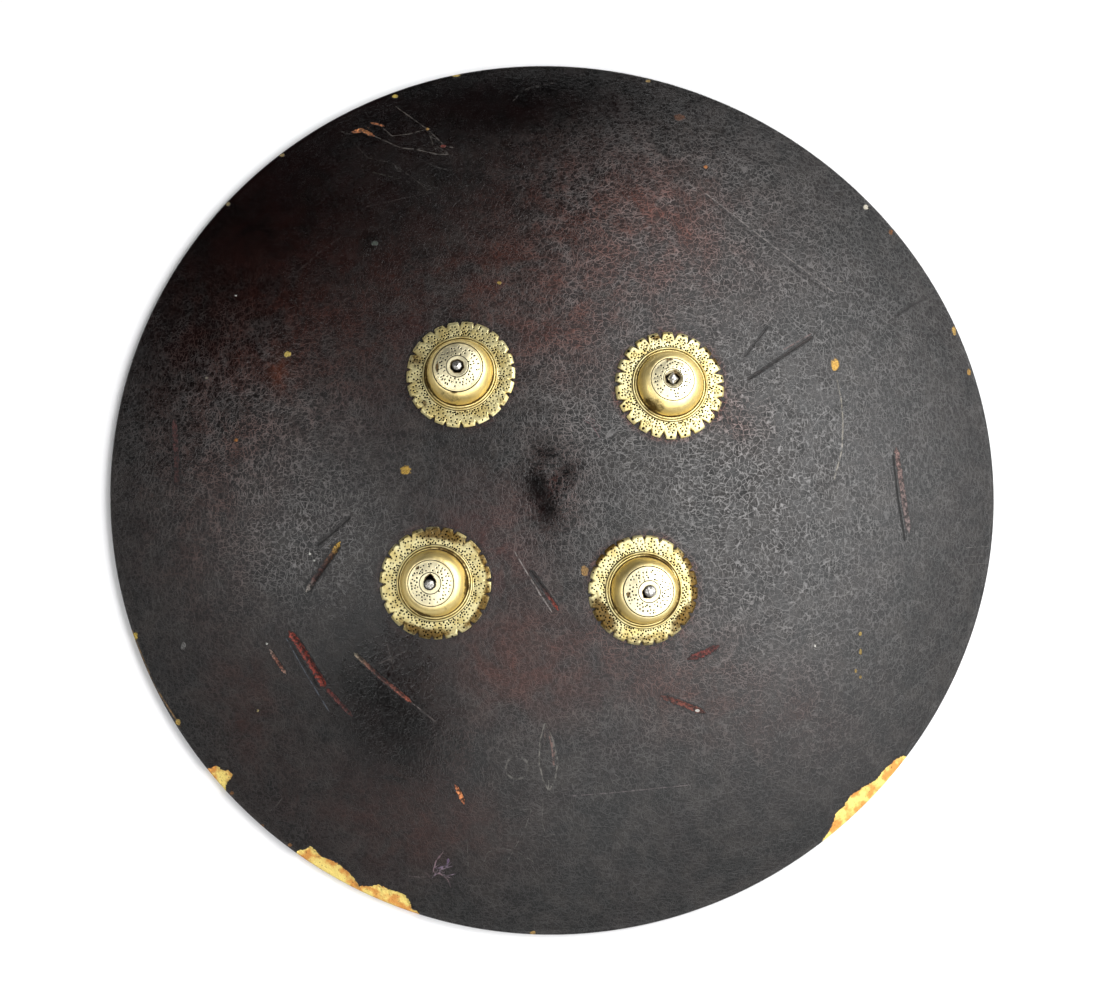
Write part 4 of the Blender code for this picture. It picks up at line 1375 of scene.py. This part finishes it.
def makeBoss(name, look):
    made = turned("brass_boss_" + name, bossSection(look), boss["steps"])
    seat = seatOf(name)
    x, y, radius, angle, height = roundAxis(made)
    foot = boss["foot"]
    onFlange = radius > foot + 1e-3
    upper = height > boss["brass"] * 0.7
    disc = boss["dome"] - look["shoulder"]
    top = boss["domeFloor"] + boss["domeHeight"]
    bent = np.clip((radius - disc) / look["shoulder"], 0, 1)
    domeFace = top * np.sqrt(np.clip(1 - bent ** 2, 0, 1))
    innerSide = (radius < boss["dome"] - 0.5) & (height < domeFace - 0.3)
    onDome = (radius < foot + 1e-3) & ~innerSide & upper

    # The filed notches, the worn teeth and those that droop over the hide
    filed, notches = filedEdge(look, seat, angle)
    reach = np.where(onFlange, foot + (radius - foot) * (filed - foot) / look["flange"], radius)
    fromEdge = filed - reach
    wornDown, wornIn = boss["wear"]
    beatenDown, beatenIn = boss["curl"]
    wear = 1 - smooth(fromEdge, 0, wornIn)
    worn = wear * onFlange * upper
    curl = beatenDown * (1 - smooth(fromEdge, 0, beatenIn)) ** 1.5 + wornDown * wear
    height = height - curl * onFlange * np.clip(height / boss["brass"], 0, 1)
    hang, hangFrom = boss["droop"]
    for direction, half in look["droop"]:
        away = gapBetween(angle, fromPlan(seat, direction))
        near = 1 - smooth(away, math.radians(half * 0.6), math.radians(half * 1.3))
        outward = smooth(reach, foot + hangFrom, foot + look["flange"])
        height = height - hang * near * outward * onFlange

    # The rivet's hole, torn wider on one side
    knots = sorted((fromPlan(seat, d) % fullTurn, r) for d, r in look["hole"])
    hole = np.interp(angle % fullTurn, *zip(*knots), period=fullTurn)
    ragged, often = boss["torn"]
    hole += ragged * np.sin(angle * often + look["seed"])
    inner = look["circles"][1] - boss["groove"]
    inHole = reach < inner
    widened = hole + (reach - boss["hole"]) * (inner - hole) / (inner - boss["hole"])
    reach = np.where(inHole, widened, reach)
    sunk = (1 - smooth(reach, hole, look["circles"][1])) * inHole * upper
    height = height - look["dish"] * sunk

    # Hammering, beading, engraving and punching
    dented = (onDome | (onFlange & upper)) * smooth(radius, *boss["hammeredFrom"])
    layers = (look["seed"], look["seed"] + 5)
    dents = [depth * noiseAt(x / width, y / width, layer)
             for (depth, width), layer in zip(boss["hammered"], layers)]
    height = height + sum(dents) * dented
    milled = boss["beads"][1][0]
    beads = round(fullTurn * milled / boss["beadPitch"])
    low = height < boss["moulding"]
    onBead = (1 - smooth(np.abs(radius - milled), *boss["bead"])) * upper * low
    height = height - boss["milled"] * onBead * (0.5 + 0.5 * np.cos(angle * beads))
    dots = punchedDots(look, notches)
    moulded = (radius < foot) & (radius > disc - 0.5)
    punch = punchDepths(reach, angle, dots, look["rings"]) * upper * ~moulded
    height = height - boss["punchDepth"] * punch
    line = np.zeros(len(radius))
    for circle in look["circles"]:
        line = np.maximum(line, 1 - smooth(np.abs(radius - circle), 0.04, boss["groove"]))
    line = line * upper * onDome
    height = height - boss["engraved"] * line

    # Dirt and brown patina in the hollows and where no hand has rubbed, painted shade in the notches, and
    # the dome painted paler towards its disc: rubbing and painted highlight
    low = height < boss["moulding"]
    dirt = np.zeros(len(radius))
    for hollow, half in soiling["hollows"]:
        filled = 1 - smooth(np.abs(radius - hollow), half * 0.3, half)
        dirt = np.maximum(dirt, soiling["inHollows"] * filled * low)
    # Darker down the notches: dirt, and painted shade in the cut
    notchDirtAndShade = smooth(filed.max() - filed, *soiling["notch"])
    dirt = np.maximum(dirt, np.maximum(soiling["teeth"], notchDirtAndShade) * worn)
    strength, first, last = soiling["hole"]
    dirt = np.maximum(dirt, strength * (1 - smooth(reach - hole, first, last)) * inHole)
    for direction, out, half, wide, strength in look["patina"]:
        across = gapBetween(angle, fromPlan(seat, direction)) / math.radians(half)
        along = np.abs(reach - out) / wide
        dirt = np.maximum(dirt, strength * (1 - smooth(np.hypot(across, along), *soiling["patch"])))
    below = soiling["below"]
    dirt = np.where(upper, dirt, below + (1 - below) * notchDirtAndShade * onFlange)
    # The dome paler towards its disc: rubbed by hands, and a painted highlight
    begins, ends = soiling["disc"]
    rubbed = 1 - soiling["rubbedSide"] * smooth(radius, disc + begins, disc + ends)
    begins, ends = soiling["foot"]
    rubbed = rubbed * (1 - smooth(radius, foot + begins, foot + ends))

    # Onto the hide, which the flange follows
    planLean = np.array((*look["lean"], 0)) @ seat["turn"]
    lift = np.clip(height / (top + boss["discRise"]), 0, 1)
    lie = drape(seat, np.maximum(reach, foot) * mm, angle) / mm + seatGap
    placed = placeOnSeat(seat, reach, angle, height + lie)
    placed += (lift[:, None] * planLean * mm) @ seat["turn"].T
    writePoints(made, placed)
    paintNumbers(made, "punch", np.maximum(punch, line))
    # dirt and patina, with painted shade in the notches
    paintNumbers(made, "dirt", dirt)
    # how pale each part of the dome is painted: rubbing and painted highlight
    paintNumbers(made, "rubbed", onDome * upper * rubbed)
    made.data.shade_smooth()
    return made


# Beaten brass, rubbed bright where hands reach it: pale yellow, satin, paler on the domes and nearly
# white on their discs, as rubbing and as a painted highlight, with brown patina in the hollows, fine
# criss-cross scratches, old dirt in the dots and lines, and dirt and painted shade in the notches.

brassLook = {
    "bright": "#e0d6a4",
    "deep": "#cbb97c",
    # the domes' paler colours: rubbed brass, and a painted highlight on shoulders and disc
    "shoulder": "#fbe39a",
    "dome": "#fcf3cf",      # where hands have rubbed it most, and a painted highlight: nearly white
    "patina": "#6b4d1a",
    "patinaDeep": "#35260f",
    "filled": "#0d0904",
    "satin": (0.42, 0.54),  # roughness
    "dirtyRough": 0.62,
    "scratchWidth": 0.35,   # mm
    "scratchLength": 6,     # in widths
    "scratchTurn": 0.6,     # radians
    "scratchHeight": 0.012,
    "patchHeight": 0.03,
    "grains": {             # noise: width in mm, then detail and roughness
        "patches": (2.6, 5.0, 0.65),    # edges of the patina
        "tone": (7.0, 4.0),
        "blot": (1.3, 4.0, 0.7),        # in the patina
        "sheen": (3.0, 4.0, 0.6),
    },
    "painted": "dirt punch rubbed",      # attributes that the material reads
}


def rubbedBrass():
    made, add, shader, inMm, grain, painted = newMaterial(
        "brass, beaten, punched and rubbed", brassLook["grains"], brassLook["painted"])
    along = add("Mapping", {"vector_type": "TEXTURE"}, {
        "Vector": inMm, "Scale": (1, brassLook["scratchLength"], 1),
        "Rotation": (0, 0, brassLook["scratchTurn"])})
    scratched = add("TexNoise", {}, {"Vector": along, "Scale": 1 / brassLook["scratchWidth"],
                                     "Detail": 3.0})
    ragged = add("Math", timesPlus, [grain["patches"], 1.3, -0.65])
    brown = add("Math", plus, [painted["dirt"]["Fac"], ragged])
    brown = add("MapRange", eased, [brown, 0.25, 0.85])
    tone = add("MapRange", eased, [grain["tone"], 0.35, 0.68])
    color = add("Mix", colors, [tone, brassLook["bright"], brassLook["deep"]])
    # Paler shoulders and a nearly white disc: rubbed brass and a painted highlight
    shoulder = add("MapRange", {}, [painted["rubbed"]["Fac"], 0.0, 0.5])
    color = add("Mix", colors, [shoulder, color, brassLook["shoulder"]])
    dome = add("MapRange", {}, [painted["rubbed"]["Fac"], 0.5, 1.0, 0.0, 0.9])
    color = add("Mix", colors, [dome, color, brassLook["dome"]])
    lines = add("MapRange", eased, [scratched, 0.62, 0.72, 0.0, 0.35])
    color = add("Mix", colors, [lines, color, brassLook["patina"]])
    blots = add("MapRange", eased, [grain["blot"], 0.35, 0.7])
    patina = add("Mix", colors, [blots, brassLook["patina"], brassLook["patinaDeep"]])
    color = add("Mix", colors, [add("Math", times, [brown, 0.92]), color, patina])
    punch = add("MapRange", eased, [painted["punch"]["Fac"], 0.15, 0.7])
    color = add("Mix", colors, [punch, color, brassLook["filled"]])
    dirty = add("Math", larger, [brown, punch])
    satin = add("MapRange", eased, [grain["sheen"], 0.3, 0.7, *brassLook["satin"]])
    rough = add("Mix", {}, [dirty, satin, brassLook["dirtyRough"]])
    relief = add("Math", times, [grain["patches"], brassLook["patchHeight"]])
    relief = add("Math", timesPlus, [scratched, brassLook["scratchHeight"], relief])
    bump = add("Bump", {}, {"Strength": 1.0, "Distance": mm, "Height": relief})
    feed(made, shader, {"Base Color": color, "Roughness": rough, "Normal": bump})
    shader.inputs["Metallic"].default_value = 1.0
    return made


brass = rubbedBrass()
for name, look in bossLooks.items():
    made = makeBoss(name, look)
    coat(made, brass)
    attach(made, "root")
    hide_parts("boss_" + name)
    print("boss", name, "made:", len(made.data.polygons), "faces")


# Iron rivets: a nub beaten down over the boss, a shank and a plain clenched head behind the hide

rivet = {
    "steps": 72,
    "shank": 2.1,           # mm
    "nubHeight": 2.0,
    "backRadius": 6.0,
    "backHeight": 2.0,
    "backGap": 0.6,
    "rounding": 0.25,       # of the nub's edge
    "backEdge": 0.2,        # height of the back head's straight edge
    "axis": 0.02,           # how near to the axis the section ends
    "beaten": (0.35, 1.7, -0.15),       # the nub's dents: depth, width and what is taken off it
    "forged": (0.3, 3.5, 0.1),          # the back head's
    "forgedBelow": -7.2,    # height under which it is uneven
    "bevel": (1.12, 1.05, 0.14),        # a faceted nub: its size, largest size, and how slim it is
    "sink": 0.9,            # how far the nub follows the dish in its boss
    "tilt": 0.15,           # slope of the nub for a tilt of 1
    "rim": (0.15, 0.08),    # how far inside and outside the bright part the soot begins and is full
    "backSoot": 0.35,       # on the head at the back
}

# The nub's radius, facets, bright share, slip to the right and up, and tilt, in the seats' order
rivetLooks = dict(zip(seats, table("seed nub sides bright slip tilt", (
    (3, 2.8, 0, 0.85, (0.0, 0.0), 0.0),
    (5, 3.3, 4, 0.9, (-0.1, -0.1), 0.0),
    (7, 3.1, 0, 0.8, (-0.2, -0.5), 0.5),
    (9, 3.25, 0, 0.95, (0.3, 0.3), 0.2),
))))


def rivetSection(look, nubFoot):
    nub, shank, edge, axis = look["nub"], rivet["shank"], rivet["backEdge"], rivet["axis"]
    turns = np.linspace(math.pi / 2, 0, 12)
    back = -bowl["thickness"] / mm - rivet["backGap"]
    low = nubFoot + rivet["rounding"]
    high = rivet["nubHeight"] - rivet["rounding"]
    section = [(axis, nubFoot + rivet["nubHeight"])]
    section += [(nub * math.cos(t), low + high * math.sin(t)) for t in turns[1:]]
    section += [(nub * 0.97, nubFoot + 0.05), (nub * 0.9, nubFoot), (shank, nubFoot)]
    section += [(shank, nubFoot + (back - nubFoot) * i / 6) for i in range(1, 7)]
    section += [(rivet["backRadius"] - edge, back), (rivet["backRadius"], back - edge)]
    brim, deep = back - edge, rivet["backHeight"] - edge
    section += [(rivet["backRadius"] * math.sin(t), brim - deep * math.cos(t)) for t in turns[1:]]
    section[-1] = (axis, back - rivet["backHeight"])
    return section


def makeRivet(name, look):
    seat = seatOf(name)
    right = np.array((0.0, math.pi / 2))
    lie = drape(seat, np.full(2, boss["foot"] * mm), right).max() / mm
    domeTop = boss["domeFloor"] + boss["domeHeight"] + boss["discRise"]
    nubFoot = lie + domeTop + 2 * seatGap - rivet["sink"] * bossLooks[name]["dish"]
    made = turned("iron_rivet_" + name, rivetSection(look, nubFoot), rivet["steps"])
    x, y, radius, angle, height = roundAxis(made)
    onNub = height > nubFoot - 0.01
    onBack = height < -bowl["thickness"] / mm
    if look["sides"]:
        flat = fullTurn / look["sides"]
        size, largest, slimness = rivet["bevel"]
        turn = (angle - fromPlan(seat, 90)) % flat - flat / 2
        shape = np.minimum(np.cos(flat / 2) / np.cos(turn) * size, largest)
        slim = 1 - slimness * np.abs(np.cos(angle - fromPlan(seat, 0)))
        faceted = onNub & (radius > rivet["shank"] - 0.01)
        radius = np.where(faceted, radius * shape * slim, radius)
    depth, width, off = rivet["beaten"]
    beaten = depth * noiseAt(x / width, y / width, look["seed"]) + off
    height = height + np.where(onNub & (height > nubFoot + 0.3), beaten, 0)
    depth, width, off = rivet["forged"]
    forged = depth * noiseAt(x / width, y / width, look["seed"] + 2) + off
    height = height + np.where(onBack & (height < rivet["forgedBelow"]), forged, 0)
    tilted = look["tilt"] * rivet["tilt"] * radius * np.sin(angle - fromPlan(seat, 180))
    height = height + np.where(onNub, tilted, 0)
    lean = np.array((*bossLooks[name]["lean"], 0)) @ seat["turn"]
    slip = np.array((*look["slip"], 0)) @ seat["turn"]
    placed = placeOnSeat(seat, radius, angle, height)
    lift = np.clip(height / (domeTop + lie), 0, 1)[:, None]
    placed += ((lift * lean + onNub[:, None] * slip) * mm) @ seat["turn"].T
    writePoints(made, placed)
    inward, outward = rivet["rim"]
    rim = smooth(radius / look["nub"], look["bright"] - inward, look["bright"] + outward)
    paintNumbers(made, "soot", np.where(onNub, rim, np.where(onBack, rivet["backSoot"], 1.0)))
    made.data.shade_smooth()
    return made


# Forged iron, rubbed bright on its high points: cool grey, pitted, with soot-black edges.

ironLook = {
    "bright": "#cfccc7",
    "dull": "#827e78",
    "soot": "#15110d",
    "satin": (0.3, 0.5),    # roughness
    "pitDepth": 0.12,       # mm
    "grains": {"pits": (0.9, 4.0, 0.65)},       # noise: width in mm, then detail and roughness
    "painted": "soot",      # attributes that the material reads
}


def forgedIron():
    made, add, shader, _, grain, painted = newMaterial(
        "iron, forged and rubbed", ironLook["grains"], ironLook["painted"])
    dull = add("MapRange", eased, [grain["pits"], 0.4, 0.62])
    color = add("Mix", colors, [dull, ironLook["bright"], ironLook["dull"]])
    color = add("Mix", colors, [painted["soot"]["Fac"], color, ironLook["soot"]])
    rough = add("MapRange", {}, [grain["pits"], 0.3, 0.7, *ironLook["satin"]])
    bump = add("Bump", {}, {"Strength": 1.0, "Distance": ironLook["pitDepth"] * mm,
                            "Height": grain["pits"]})
    feed(made, shader, {"Base Color": color, "Roughness": rough, "Normal": bump})
    shader.inputs["Metallic"].default_value = 1.0
    return made


iron = forgedIron()
for name, look in rivetLooks.items():
    made = makeRivet(name, look)
    coat(made, iron)
    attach(made, "root")
    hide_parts("rivet_" + name)
print("rivets made")


# Floor and light

studio = {
    "floorSize": 12.0,
    "floor": "#ebebec",
    "floorRough": 0.9,
    "world": 0.02,
    "away": 1.9,        # metres from the middle of the shield to each softbox
    "softboxes": {      # degrees round from the right, degrees from plumb, size in metres, radiance
        "right": (12, 40, 1.15, 7.0),
        "upper right": (48, 42, 0.95, 5.1),
        "low right": (10, 62, 1.1, 1.7),
        "low upper right": (40, 64, 0.8, 1.0),
        "lower right": (-34, 50, 1.1, 4.9),
        "front": (-85, 44, 1.1, 2.9),
        "near front": (-85, 20, 0.7, 1.7),
        "low front left": (240, 56, 0.8, 0.6),
        "low left": (196, 54, 0.9, 0.9),
        "left": (188, 34, 0.6, 8.4),
        "overhead": (-6, 20, 0.8, 3.1),
    },
}


def addStudio():
    deselectAll()
    bpy.ops.mesh.primitive_plane_add(size=studio["floorSize"])
    floor = bpy.context.object
    floor.name = "floor"
    paper, _, shader, *_ = newMaterial("paper, matt white")
    shader.inputs["Base Color"].default_value = linear(studio["floor"])
    shader.inputs["Roughness"].default_value = studio["floorRough"]
    floor.data.materials.append(paper)

    world = bpy.data.worlds.new("studio")
    world.use_nodes = True
    world.node_tree.nodes["Background"].inputs["Color"].default_value = (1, 1, 1, 1)
    world.node_tree.nodes["Background"].inputs["Strength"].default_value = studio["world"]
    bpy.context.scene.world = world

    for name, (around, plumb, size, radiance) in studio["softboxes"].items():
        data = bpy.data.lights.new(name + " softbox", "AREA")
        data.shape = "DISK"
        data.size = size
        data.energy = radiance * math.pi * math.pi * size ** 2 / 4      # of a disc, in watts
        light = bpy.data.objects.new(name + " softbox", data)
        bpy.context.scene.collection.objects.link(light)
        around, plumb = math.radians(around), math.radians(plumb)
        out = math.sin(plumb)
        toLight = Vector((out * math.cos(around), out * math.sin(around), math.cos(plumb)))
        light.location = studio["away"] * toLight
        light.rotation_euler = (-toLight).to_track_quat("-Z", "Y").to_euler()


addStudio()
bpy.context.scene.view_settings.view_transform = "Standard"
print("studio lit")
